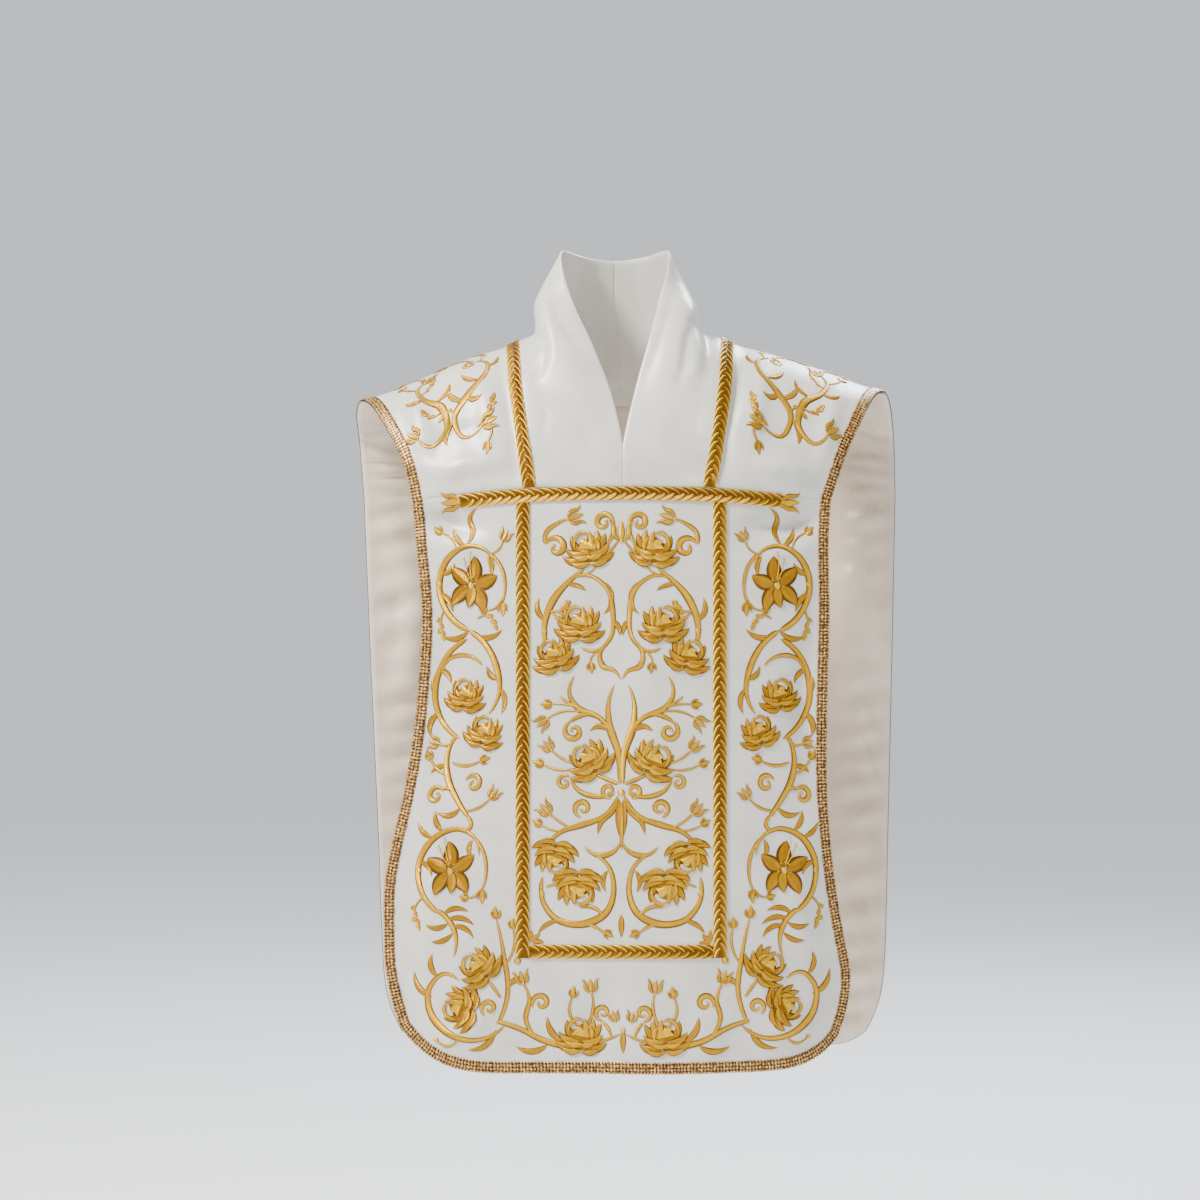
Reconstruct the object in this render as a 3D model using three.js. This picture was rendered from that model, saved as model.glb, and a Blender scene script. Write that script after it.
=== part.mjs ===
// Roman chasuble, as it hangs when worn. Millimetres, +Z up, +X to the viewer's right, the front faces -Y.
// The origin is at the neck's centre, level with the shoulder ridge, where the wearer holds the garment up.
// One smooth cloth surface runs from the front hem over the shoulders to the back hem. Every piece is a wall
// made from points of that surface, or of the neck piece's own ribs, moved out or in along the normal.
import * as THREE from "three";

// ---- Thicknesses and widths -------------------------------------------------------------------------------

const SATIN = 1.6; // satin with its stiffening
const NECK_SATIN = 2.2; // the neck piece is doubled
const LINING = 1.0;
const SEAM_GAP = 0.3;
const GALLOON_WIDTH = 12;
const GALLOON_THICKNESS = 1.3;
const BRAID_WIDTH = 16;
const BRAID_PITCH = 10.5; // from one plaited lobe to the next
const BRAID_HEIGHT = { edgeLow: 1.2, edgeHigh: 2.2, middleLow: 1.9, middleHigh: 2.9 };
const BRAID_LIFT = 0.45; // clear air under a braid
const CHEVRON_TRAIL = 0.45; // how far a lobe's ends trail its middle, as a share of the pitch

// ---- Main sizes of the garment ----------------------------------------------------------------------------

const FRONT_SEAM_HEIGHT = -189; // seam across the chest
const FRONT_SEAM_DROOP = { rise: -14, from: 0, over: 235, power: 2.4 }; // lower at its ends
const BACK_YOKE_HEIGHT = -190; // level where the back begins to hang straight
const FRONT_HEM = -889;
const BACK_HEM = -912;
const BACK_CENTRE = 16; // the back hangs a little to the wearer's left
const COLUMN_CENTRE = -2;
const COLUMN_HALF = 118; // centre line to the middle of a column braid
const BAR_HEIGHT = -745; // middle of the bar that joins the columns
const NECK_SEAM_WRAP = 0.62; // where the neck piece ends on the back
const WRAP_MM = 1000; // millimetres of fall for one unit of wrap, below the arch of the shoulders

// ---- Tables, a row for each section -----------------------------------------------------------------------

// Height of the shoulder ridge, by distance out from the neck's centre.
const RIDGE = [
  { out: 0, left: 14, right: 14 },
  { out: 60, left: 13, right: 13 },
  { out: 105, left: 8, right: 8 },
  { out: 145, left: -9, right: -7 },
  { out: 200, left: -27, right: -22 },
  { out: 250, left: -49, right: -38 },
  { out: 300, left: -69, right: -57 },
  { out: 350, left: -81, right: -71 },
];

// Fall from the ridge at which the arch over the shoulder has come fully forward or back.
const ARCH = [
  { out: 0, drop: 170 },
  { out: 150, drop: 165 },
  { out: 220, drop: 135 },
  { out: 270, drop: 105 },
  { out: 330, drop: 62 },
  { out: 360, drop: 55 },
];

// Distance of the cloth in front of the neck's centre, and how far each side has come back from that.
const FRONT_DEPTH = [
  { z: -900, centre: 163, left: 28, right: 74 },
  { z: -650, centre: 157, left: 34, right: 62 },
  { z: -450, centre: 152, left: 44, right: 50 },
  { z: -190, centre: 146, left: 48, right: 48 },
  { z: -60, centre: 135, left: 48, right: 48 },
  { z: 20, centre: 128, left: 48, right: 48 },
];
const FRONT_SIDE = { half: 290, power: 2.2 };
const BACK_DEPTH = [
  { z: -950, centre: 142, side: 46 },
  { z: -700, centre: 134, side: 44 },
  { z: -400, centre: 127, side: 42 },
  { z: -190, centre: 130, side: 42 },
  { z: -60, centre: 126, side: 42 },
  { z: 20, centre: 120, side: 42 },
];
const BACK_SIDE = { half: 340, power: 2.4 };

// Half widths of the front below the chest seam, down to the middle of each round corner.
const FRONT_EDGE = [
  { z: -852, left: 252, right: 261 },
  { z: -838, left: 266, right: 270 },
  { z: -820, left: 277, right: 275 },
  { z: -790, left: 285, right: 275 },
  { z: -733, left: 287, right: 267 },
  { z: -685, left: 286, right: 260 },
  { z: -620, left: 277, right: 252 },
  { z: -541, left: 262, right: 246 },
  { z: -445, left: 249, right: 246 },
  { z: -325, left: 242, right: 249 },
  { z: -240, left: 249, right: 248 },
  { z: -189, left: 254, right: 251 },
];
const FRONT_CORNER = { left: -838, right: -852 };

// Half widths over the shoulders by wrap: -1 is the chest seam, 0 the ridge, 1 the yoke level of the back.
const SHOULDER_EDGE = [
  { wrap: -1, left: 254, right: 251 },
  { wrap: -0.85, left: 261, right: 263 },
  { wrap: -0.72, left: 271, right: 274 },
  { wrap: -0.6, left: 282, right: 285 },
  { wrap: -0.45, left: 295, right: 297 },
  { wrap: -0.15, left: 317, right: 318 },
  { wrap: 0, left: 326, right: 328 },
  { wrap: 0.3, left: 335, right: 341 },
  { wrap: 0.6, left: 334, right: 348 },
  { wrap: 1, left: 329, right: 350 },
];
const BACK_EDGE = [
  { z: -879, left: 283, right: 315 },
  { z: -866, left: 294, right: 326 },
  { z: -845, left: 302, right: 334 },
  { z: -800, left: 306, right: 338 },
  { z: -650, left: 311, right: 341 },
  { z: -400, left: 321, right: 346 },
  { z: -190, left: 329, right: 350 },
];
const BACK_CORNER = -879;

// Half distance between the shoulder braids, which lie on the seams of the neck piece.
const BRAID_LINE = [
  { wrap: -1, left: 112, right: 103 },
  { wrap: -0.88, left: 117, right: 110 },
  { wrap: -0.7, left: 124, right: 118 },
  { wrap: -0.48, left: 131, right: 125 },
  { wrap: 0, left: 136, right: 131 },
  { wrap: 0.5, left: 131, right: 127 },
  { wrap: 1, left: 122, right: 120 },
  { wrap: 1.3, left: 120, right: 116 },
];

// Long soft folds that hang to the hem: where they are there, how wide and how far out (or in) they stand.
const FRONT_FOLDS = [
  { x: -205, lean: 30, width: 55, out: 7, top: -420 },
  { x: -70, lean: -20, width: 60, out: -4, top: -560 },
  { x: 60, lean: 15, width: 55, out: 5, top: -600 },
  { x: 190, lean: -25, width: 50, out: 6, top: -480 },
];
const BACK_FOLDS = [
  { x: -235, lean: 40, width: 50, out: 12, top: -240 },
  { x: -120, lean: 25, width: 45, out: -8, top: -380 },
  { x: 20, lean: -10, width: 60, out: 9, top: -330 },
  { x: 140, lean: -20, width: 45, out: -7, top: -430 },
  { x: 260, lean: -35, width: 50, out: 10, top: -260 },
];

// Soft puffs above the ends of the chest seam, and the hollows below them.
const FRONT_DENTS = [
  { x: -205, z: -168, wide: 46, tall: 18, out: 5 },
  { x: 200, z: -170, wide: 46, tall: 18, out: 5 },
  { x: -205, z: -228, wide: 42, tall: 24, out: -5 },
  { x: 205, z: -232, wide: 42, tall: 26, out: -5 },
];

// Ribs of the neck piece for one half, from the chest seam up over the shoulder to the centre of the back.
// Each starts on the cloth at the braid line (share 1) or on the back seam, lies on it for a little (inward
// and upward laps), and rises over the root of the neck and the bulge of the collar to its edge. A flat rib
// lies on the cloth all the way.
const SIDE_RIB = { share: 1, inward: 10, upward: 0 };
const BACK_RIB = { wrap: 0.6185, inward: 0, upward: 10 };
const NECK_RIBS = [
  { ...SIDE_RIB, wrap: -0.999, flat: true },
  { ...SIDE_RIB, wrap: -0.853, flat: true },
  { ...SIDE_RIB, wrap: -0.715, root: [88, -124, -97], bulge: [50, -121, -84], edge: [15, -109, -72] },
  { ...SIDE_RIB, wrap: -0.573, root: [98, -104, -58], bulge: [66, -101, -32], edge: [35, -84, -10] },
  { ...SIDE_RIB, wrap: -0.43, root: [104, -80, -28], bulge: [80, -80, 4], edge: [46, -66, 20] },
  { ...SIDE_RIB, wrap: -0.287, root: [105, -52, -6], bulge: [92, -52, 34], edge: [56, -47, 50] },
  { ...SIDE_RIB, wrap: -0.13, root: [104, -24, 6], bulge: [99, -24, 44], edge: [65, -28, 80] },
  { ...SIDE_RIB, wrap: 0.08, root: [103, 4, 9], bulge: [100, 2, 46], edge: [68, -6, 108] },
  { ...SIDE_RIB, wrap: 0.3, root: [100, 34, 4], bulge: [95, 30, 46], edge: [61, 22, 113] },
  { ...BACK_RIB, share: 1, inward: 7, upward: 7, root: [86, 68, -10], bulge: [80, 60, 40], edge: [44, 48, 110] },
  { ...BACK_RIB, share: 0.5, root: [50, 88, -22], bulge: [46, 78, 36], edge: [22, 60, 107] },
  { ...BACK_RIB, share: 0, root: [0, 95, -26], bulge: [0, 84, 34], edge: [0, 64, 105] },
];
const FLAT_SHARES = { root: 0.7, bulge: 0.35, edge: 0 };
const NECK_BACK_MM = 260; // millimetres of cloth for one unit of wrap, at the neck piece's back seam
const COLLAR_LEAN = { x: -9, from: -60, to: 60 }; // the collar leans to the wearer's right as it rises

// ---- Small mathematics ------------------------------------------------------------------------------------

const lerp = THREE.MathUtils.lerp;
const clamp = THREE.MathUtils.clamp;
const smooth = (value, from, to) => THREE.MathUtils.smoothstep(value, from, to);

// A smooth curve through points at rising places: a cubic with each slope taken from the neighbours.
function curveThrough(places, values) {
  const last = places.length - 1;
  const slope = (i) => {
    const a = Math.max(0, i - 1);
    const b = Math.min(last, i + 1);
    return (values[b] - values[a]) / (places[b] - places[a]);
  };
  return (place) => {
    const at = clamp(place, places[0], places[last]);
    let i = 0;
    while (i < last - 1 && at > places[i + 1]) i += 1;
    const span = places[i + 1] - places[i];
    const t = (at - places[i]) / span;
    const rise = values[i + 1] - values[i];
    const a = slope(i) * span - rise;
    const b = -slope(i + 1) * span + rise;
    return values[i] + rise * t + t * (1 - t) * (a * (1 - t) + b * t);
  };
}

function tableCurves(rows, place, columns) {
  const places = rows.map((row) => row[place]);
  return Object.fromEntries(
    columns.map((name) => [
      name,
      curveThrough(
        places,
        rows.map((row) => row[name]),
      ),
    ]),
  );
}

function straightThrough(values) {
  return (at) => {
    const i = clamp(Math.floor(at), 0, values.length - 2);
    return lerp(values[i], values[i + 1], at - i);
  };
}

// ---- The cloth surface ------------------------------------------------------------------------------------

const ridge = tableCurves(RIDGE, "out", ["left", "right"]);
const arch = tableCurves(ARCH, "out", ["drop"]);
const frontDepth = tableCurves(FRONT_DEPTH, "z", ["centre", "left", "right"]);
const backDepth = tableCurves(BACK_DEPTH, "z", ["centre", "side"]);
const frontEdge = tableCurves(FRONT_EDGE, "z", ["left", "right"]);
const shoulderEdge = tableCurves(SHOULDER_EDGE, "wrap", ["left", "right"]);
const backEdge = tableCurves(BACK_EDGE, "z", ["left", "right"]);
const braidLine = tableCurves(BRAID_LINE, "wrap", ["left", "right"]);

const hand = (x) => (x < 0 ? "left" : "right");
const ridgeHeight = (x) => ridge[hand(x)](Math.abs(x));

// How much higher a line is this far out: from where it leaves the level, over what width, and how sharply.
const risen = ({ from, over, rise, power }, out) => rise * (Math.max(0, out - from) / over) ** power;

function seamHeight(front, x) {
  if (!front) return BACK_YOKE_HEIGHT;
  return FRONT_SEAM_HEIGHT + risen(FRONT_SEAM_DROOP, Math.abs(x));
}

function fullDepth(front, x, z) {
  if (front) {
    const back = frontDepth[hand(x)](z);
    return frontDepth.centre(z) - back * (Math.abs(x) / FRONT_SIDE.half) ** FRONT_SIDE.power;
  }
  const out = Math.abs(x - BACK_CENTRE) / BACK_SIDE.half;
  return backDepth.centre(z) - backDepth.side(z) * out ** BACK_SIDE.power;
}

function foldDepth(front, x, z) {
  const hem = front ? FRONT_HEM : BACK_HEM;
  let out = 0;
  for (const fold of front ? FRONT_FOLDS : BACK_FOLDS) {
    const open = 1 - smooth(z, hem, fold.top);
    const middle = fold.x + fold.lean * (1 - open);
    out += fold.out * open * Math.exp(-(((x - middle) / fold.width) ** 2));
  }
  for (const dent of front ? FRONT_DENTS : [])
    out += dent.out * Math.exp(-(((x - dent.x) / dent.wide) ** 2) - ((z - dent.z) / dent.tall) ** 2);
  return out;
}

// A point of the cloth. wrap runs from the front (below 0) over the ridge (0) to the back (above 0).
function clothPoint(x, wrap) {
  const front = wrap < 0;
  const reach = Math.abs(wrap);
  const top = ridgeHeight(x);
  const seam = seamHeight(front, x);
  const z =
    reach < 1
      ? top - (top - seam) * (1 - Math.cos((reach * Math.PI) / 2))
      : seam - (reach - 1) * WRAP_MM;
  const fall = Math.min(1, (top - z) / arch.drop(Math.abs(x)));
  const round = Math.sqrt(1 - (1 - fall) ** 2);
  const depth = fullDepth(front, x, z) * round + foldDepth(front, x, z) * fall;
  return new THREE.Vector3(x, front ? -depth : depth, z);
}

const wrapAt = (front, x, z) => (front ? -1 : 1) * (1 + (seamHeight(front, x) - z) / WRAP_MM);

const CLOTH_STEP = { x: 1, wrap: 0.002 }; // for the cloth's normal

// The point and the outward normal of a surface given as a function of two coordinates.
function framed(surface, a, b, stepA, stepB) {
  const alongA = surface(a + stepA, b).sub(surface(a - stepA, b));
  const alongB = surface(a, b + stepB).sub(surface(a, b - stepB));
  return { point: surface(a, b), normal: alongA.cross(alongB).normalize() };
}

// ---- Hems -------------------------------------------------------------------------------------------------

// How the hems rise towards their ends.
const FRONT_RISE = {
  left: { from: 120, over: 146, rise: 51, power: 3.6 },
  right: { from: 90, over: 171, rise: 37, power: 6 },
};
const BACK_SAG = { from: 0, over: 265, rise: 14, power: 2 };
const BACK_CORNER_RISE = { from: 262, over: 36.5, rise: 15, power: 2 };

const frontHem = (x) => FRONT_HEM + risen(FRONT_RISE[hand(x)], Math.abs(x));

function backHem(x) {
  const out = Math.abs(x - BACK_CENTRE);
  return BACK_HEM + risen(BACK_SAG, out) + risen(BACK_CORNER_RISE, out);
}

// ---- The grid: rows from the front hem over the ridge to the back hem, columns from left to right ----------

const SEAM_SHARE = 0.0006; // the front panel ends this share of its height below the chest seam
const FRONT_ROWS = [
  ...[1, 0.99, 0.97, 0.94, 0.9, 0.84, 0.77, 0.7, 0.61, 0.52, 0.43, 0.34, 0.25],
  ...[0.17, 0.11, 0.07, 0.04, 0.02, SEAM_SHARE],
];
const SHOULDER_ROWS = [
  ...[-1, -0.93, -0.84, -0.73, -0.6, -0.46, -0.31, -0.15],
  ...[0, 0.15, 0.31, 0.47, NECK_SEAM_WRAP, 0.8],
];
const BACK_ROWS = [
  ...[0, 0.08, 0.16, 0.24, 0.33, 0.42, 0.51, 0.6, 0.69],
  ...[0.78, 0.86, 0.92, 0.955, 0.983, 1],
];
const ROWS = [
  ...FRONT_ROWS.map((down) => ({ on: "front", down })),
  ...SHOULDER_ROWS.map((wrap) => ({ on: "shoulder", wrap })),
  ...BACK_ROWS.map((down) => ({ on: "back", down })),
];
const SIDE_SHARES = [0.12, 0.28, 0.48, 0.73, 1]; // from the galloon's inner edge to the braid line
const MIDDLE_SHARES = [1 / 6, 2 / 6, 3 / 6, 4 / 6, 5 / 6]; // between the braid lines

const FRONT_SEAM_ROW = FRONT_ROWS.length;
const NECK_SEAM_ROW = FRONT_SEAM_ROW + SHOULDER_ROWS.indexOf(NECK_SEAM_WRAP);
const LAST_ROW = ROWS.length - 1;
const LEFT_BRAID_COLUMN = 1 + SIDE_SHARES.length;
const RIGHT_BRAID_COLUMN = LEFT_BRAID_COLUMN + MIDDLE_SHARES.length + 1;
const LAST_COLUMN = RIGHT_BRAID_COLUMN + SIDE_SHARES.length + 1;

function edgesOfRow(row) {
  if (row.on === "shoulder")
    return { left: -shoulderEdge.left(row.wrap), right: shoulderEdge.right(row.wrap) };
  const front = row.on === "front";
  const edge = front ? frontEdge : backEdge;
  const top = front ? FRONT_SEAM_HEIGHT : BACK_YOKE_HEIGHT;
  const corner = front ? FRONT_CORNER : { left: BACK_CORNER, right: BACK_CORNER };
  return {
    left: -edge.left(lerp(top, corner.left, row.down)),
    right: edge.right(lerp(top, corner.right, row.down)),
  };
}

function linesOfRow(row) {
  if (row.on === "front")
    return { left: COLUMN_CENTRE - COLUMN_HALF, right: COLUMN_CENTRE + COLUMN_HALF };
  const wrap = row.on === "shoulder" ? row.wrap : 1 + row.down;
  return { left: -braidLine.left(wrap), right: braidLine.right(wrap) };
}

function placesOfRow(row) {
  const edge = edgesOfRow(row);
  const line = linesOfRow(row);
  const inside = { left: edge.left + GALLOON_WIDTH, right: edge.right - GALLOON_WIDTH };
  return [
    edge.left,
    inside.left,
    ...SIDE_SHARES.map((share) => lerp(inside.left, line.left, share)),
    ...MIDDLE_SHARES.map((share) => lerp(line.left, line.right, share)),
    ...SIDE_SHARES.map((share) => lerp(inside.right, line.right, share)).reverse(),
    inside.right,
    edge.right,
  ];
}

function wrapOfPlace(row, x) {
  if (row.on === "shoulder") return row.wrap;
  const front = row.on === "front";
  const hem = front ? frontHem(x) : backHem(x);
  return wrapAt(front, x, lerp(seamHeight(front, x), hem, row.down));
}

const clothGrid = ROWS.map((row) =>
  placesOfRow(row).map((x) => {
    const wrap = wrapOfPlace(row, x);
    return { x, wrap, ...framed(clothPoint, x, wrap, CLOTH_STEP.x, CLOTH_STEP.wrap) };
  }),
);

// The flat facets of the panels, each with its place as a triangle of (x, wrap).
const facets = clothGrid.slice(1).flatMap((above, r) =>
  above.slice(1).flatMap((c, j) => {
    const [a, b, d] = [clothGrid[r][j], clothGrid[r][j + 1], above[j]];
    return [[a, b, c], [a, c, d]].map((corners) => {
      const places = corners.map((p) => new THREE.Vector3(p.x, p.wrap * WRAP_MM, 0));
      const box = new THREE.Box3().setFromPoints(places);
      return { corners, place: new THREE.Triangle(...places), box };
    });
  }),
);

function facetPoint(x, wrap) {
  const at = new THREE.Vector3(x, wrap * WRAP_MM, 0);
  const facet = facets.find(({ place, box }) => box.containsPoint(at) && place.containsPoint(at));
  if (!facet) return clothPoint(x, wrap);
  const share = facet.place.getBarycoord(at, new THREE.Vector3()).toArray();
  return facet.corners.reduce(
    (sum, corner, i) => sum.addScaledVector(corner.point, share[i]),
    new THREE.Vector3(),
  );
}

// A point above the cloth, clear of its smooth surface and of the flat facets of the panels.
function onCloth(x, wrap, lift) {
  const { point, normal } = framed(clothPoint, x, wrap, CLOTH_STEP.x, CLOTH_STEP.wrap);
  const proud = facetPoint(x, wrap).sub(point).dot(normal);
  return point.addScaledVector(normal, Math.max(0, proud) + lift);
}

// ---- Walls from a grid of points --------------------------------------------------------------------------

function meshFrom(name, material, corners) {
  const geometry = new THREE.BufferGeometry();
  geometry.setAttribute(
    "position",
    new THREE.Float32BufferAttribute(
      corners.flatMap((p) => [p.x, p.y, p.z]),
      3,
    ),
  );
  geometry.computeVertexNormals();
  const mesh = new THREE.Mesh(geometry, material);
  mesh.name = name;
  return mesh;
}

// A closed wall over the cells of a grid that has() names, between two distances from its points.
function wall(name, material, grid, has, low, high) {
  const corners = [];
  const at = (r, c, lift) => grid[r][c].point.clone().addScaledVector(grid[r][c].normal, lift);
  const quad = (a, b, c, d) => corners.push(a, b, c, a, c, d);
  const rim = (from, to) => quad(at(...from, high), at(...from, low), at(...to, low), at(...to, high));
  for (let r = 0; r < grid.length - 1; r += 1)
    for (let c = 0; c < grid[r].length - 1; c += 1) {
      if (!has(r, c)) continue;
      const ring = [
        [r, c],
        [r, c + 1],
        [r + 1, c + 1],
        [r + 1, c],
      ];
      const beside = [
        [r - 1, c],
        [r, c + 1],
        [r + 1, c],
        [r, c - 1],
      ];
      quad(...ring.map(([i, j]) => at(i, j, high)));
      const [p, q, s, t] = ring.map(([i, j]) => at(i, j, low));
      corners.push(p, s, q, p, t, s); // cut along the same diagonal as the outside
      beside.forEach(([i, j], side) => {
        const inGrid = i >= 0 && j >= 0 && i < grid.length - 1 && j < grid[r].length - 1;
        if (!(inGrid && has(i, j))) rim(ring[side], ring[(side + 1) % 4]);
      });
    }
  return meshFrom(name, material, corners);
}

// ---- Cloth panels, lining and the galloon along the edge --------------------------------------------------

const isFront = (r) => r < FRONT_SEAM_ROW - 1;
const isNeck = (r, c) => r < NECK_SEAM_ROW && c >= LEFT_BRAID_COLUMN && c < RIGHT_BRAID_COLUMN;
const isBack = (r, c) => r >= FRONT_SEAM_ROW && !isNeck(r, c);
const isEdge = (r, c) => r === 0 || r === LAST_ROW - 1 || c === 0 || c === LAST_COLUMN - 1;

const frontPanel = (material) => wall("front_panel", material, clothGrid, isFront, -SATIN, 0);
const backPanel = (material) => wall("back_panel", material, clothGrid, isBack, -SATIN, 0);

function backLining(material) {
  const outside = -SATIN - SEAM_GAP;
  return wall("back_lining", material, clothGrid, isBack, outside - LINING, outside);
}

function edgeGalloon(material) {
  return wall("edge_galloon", material, clothGrid, isEdge, SEAM_GAP, SEAM_GAP + GALLOON_THICKNESS);
}

// ---- Neck piece -------------------------------------------------------------------------------------------

const HALF_SEAM = SEAM_GAP / 2;
const lean = (z) => COLLAR_LEAN.x * smooth(z, COLLAR_LEAN.from, COLLAR_LEAN.to);

// The neck piece's surface for one half: station runs along the ribs, knot (0 to 4) up a rib.
function neckSurface(sign) {
  const line = braidLine[sign < 0 ? "left" : "right"];
  const controls = ["root", "bulge", "edge"];
  const column = (name) => straightThrough(NECK_RIBS.map((rib) => rib[name]));
  const [wrapOf, shareOf, inwardOf, upwardOf] = ["wrap", "share", "inward", "upward"].map(column);
  const stations = NECK_RIBS.map((_, i) => i);
  const controlCurves = controls.map((name) => {
    const points = NECK_RIBS.map((rib) => {
      if (rib.flat) return clothPoint(sign * FLAT_SHARES[name] * line(rib.wrap), rib.wrap).toArray();
      const [x, y, z] = rib[name];
      return [sign * x + lean(z), y, z];
    });
    return [0, 1, 2].map((axis) =>
      curveThrough(
        stations,
        points.map((p) => p[axis]),
      ),
    );
  });
  return (station, knot) => {
    const wrap = wrapOf(station);
    const out = Math.max(HALF_SEAM, (line(wrap) - SEAM_GAP) * shareOf(station));
    const lap = Math.max(HALF_SEAM, out - inwardOf(station));
    const lapWrap = wrap - upwardOf(station) / NECK_BACK_MM;
    const start = [clothPoint(sign * out, wrap), clothPoint(sign * lap, lapWrap)];
    const rest = controlCurves.map(([x, y, z]) => new THREE.Vector3(x(station), y(station), z(station)));
    for (const p of rest) p.x = sign * Math.max(HALF_SEAM, sign * (p.x - lean(p.z))) + lean(p.z);
    const points = [...start, ...rest];
    const places = [0];
    for (let i = 1; i < points.length; i += 1)
      places.push(places[i - 1] + points[i].distanceTo(points[i - 1]));
    const low = Math.min(Math.floor(knot), points.length - 2);
    const place = lerp(places[low], places[low + 1], knot - low);
    const along = (axis) =>
      curveThrough(
        places,
        points.map((p) => p[axis]),
      )(place);
    return new THREE.Vector3(along("x"), along("y"), along("z"));
  };
}

const KNOTS = [0, 1, 1.5, 2, 2.35, 2.7, 3, 3.5, 4];
const STATIONS_PER_RIB = 2;
const STEP = 0.02; // of a station or a knot, for the normal

function neckGrid(sign) {
  const surface = neckSurface(sign);
  const last = NECK_RIBS.length - 1;
  const grid = [];
  for (let i = 0; i <= last * STATIONS_PER_RIB; i += 1) {
    const station = i / STATIONS_PER_RIB;
    const row = KNOTS.map((knot) => {
      const s = clamp(station, STEP, last - STEP);
      const k = clamp(knot, STEP, KNOTS[KNOTS.length - 1] - STEP);
      const point = surface(station, knot);
      const normal = framed(surface, s, k, STEP, STEP).normal.multiplyScalar(sign);
      if (Math.abs(point.x - lean(point.z)) < 1) normal.setX(0).normalize(); // the halves meet square
      return { point, normal };
    });
    grid.push(sign < 0 ? row : row.reverse());
  }
  return grid;
}

const neckHalf = (name, sign, material) => wall(name, material, neckGrid(sign), () => true, -NECK_SATIN, 0);

// ---- Plaited braids ---------------------------------------------------------------------------------------

const ROUTE_SAMPLES = 240;

// A braid laid on the cloth. route(share) gives {x, wrap} from 0 to 1; across is the direction of its width.
function plaitedBraid(name, material, route, across) {
  const reach = [0];
  for (let i = 1; i <= ROUTE_SAMPLES; i += 1) {
    const [a, b] = [route((i - 1) / ROUTE_SAMPLES), route(i / ROUTE_SAMPLES)];
    reach.push(reach[i - 1] + clothPoint(a.x, a.wrap).distanceTo(clothPoint(b.x, b.wrap)));
  }
  const length = reach[ROUTE_SAMPLES];
  const shareAt = curveThrough(
    reach,
    reach.map((_, i) => i / ROUTE_SAMPLES),
  );
  const spot = (distance, out, lift) => {
    const { x, wrap } = route(shareAt(clamp(distance, 0, length)));
    if (across === "x") return onCloth(x + out, wrap, lift);
    return onCloth(x, wrap + (Math.sign(wrap) * -out) / WRAP_MM, lift);
  };
  const steps = 2 * Math.round(length / BRAID_PITCH);
  const half = BRAID_WIDTH / 2;
  const rings = [];
  for (let i = 0; i <= steps; i += 1) {
    const distance = (length * i) / steps;
    const back = i === 0 || i === steps ? 0 : BRAID_PITCH * CHEVRON_TRAIL;
    const edge = BRAID_LIFT + (i % 2 ? BRAID_HEIGHT.edgeHigh : BRAID_HEIGHT.edgeLow);
    const middle = BRAID_LIFT + (i % 2 ? BRAID_HEIGHT.middleHigh : BRAID_HEIGHT.middleLow);
    rings.push([
      spot(distance - back, -half, BRAID_LIFT),
      spot(distance - back, -half, edge),
      spot(distance, 0, middle),
      spot(distance - back, half, edge),
      spot(distance - back, half, BRAID_LIFT),
    ]);
  }
  return ringedBody(name, material, rings);
}

function signedVolume(corners) {
  let six = 0;
  for (let i = 0; i < corners.length; i += 3)
    six += corners[i].dot(corners[i + 1].clone().cross(corners[i + 2]));
  return six / 6;
}

// A closed body through rings of points, capped at both ends and turned so that its faces point out.
function ringedBody(name, material, rings) {
  const corners = [];
  const sides = rings[0].length;
  for (let i = 0; i < rings.length - 1; i += 1)
    for (let j = 0; j < sides; j += 1) {
      const k = (j + 1) % sides;
      const [a, b, c, d] = [rings[i][j], rings[i][k], rings[i + 1][k], rings[i + 1][j]];
      corners.push(a, b, c, a, c, d);
    }
  for (let j = 1; j < sides - 1; j += 1) {
    const end = rings[rings.length - 1];
    corners.push(rings[0][0], rings[0][j + 1], rings[0][j], end[0], end[j], end[j + 1]);
  }
  return meshFrom(name, material, signedVolume(corners) < 0 ? corners.reverse() : corners);
}

const CROSSBAR_DROP = 8.2; // from the chest seam to the middle of the braid that covers it
const CROSSBAR = { left: -196, right: 192 };
const BRAID_CLEAR = BRAID_WIDTH / 2 + 0.5; // from a braid's middle to the end of one that meets it
const COLUMN_END = BAR_HEIGHT - BRAID_WIDTH / 2;
const BACK_BAR_HEIGHT = -765;
const BACK_BAR_WRAP = 1.3; // where the braid lines have come to their spacing on the back
const SHOULDER_BRAID_START = -0.995; // just above the crossbar

function crossbarBraid(material) {
  const route = (share) => {
    const x = lerp(CROSSBAR.left, CROSSBAR.right, share);
    return { x, wrap: wrapAt(true, x, seamHeight(true, x) - CROSSBAR_DROP) };
  };
  return plaitedBraid("crossbar_braid", material, route, "wrap");
}

function columnBraid(name, sign, material) {
  const x = COLUMN_CENTRE + sign * COLUMN_HALF;
  const top = seamHeight(true, x) - CROSSBAR_DROP - BRAID_CLEAR;
  const route = (share) => ({ x, wrap: wrapAt(true, x, lerp(COLUMN_END, top, share)) });
  return plaitedBraid(name, material, route, "x");
}

function barBraid(name, front, height, left, right, material) {
  const route = (share) => {
    const x = lerp(left + BRAID_CLEAR, right - BRAID_CLEAR, share);
    return { x, wrap: wrapAt(front, x, height) };
  };
  return plaitedBraid(name, material, route, "wrap");
}

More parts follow.
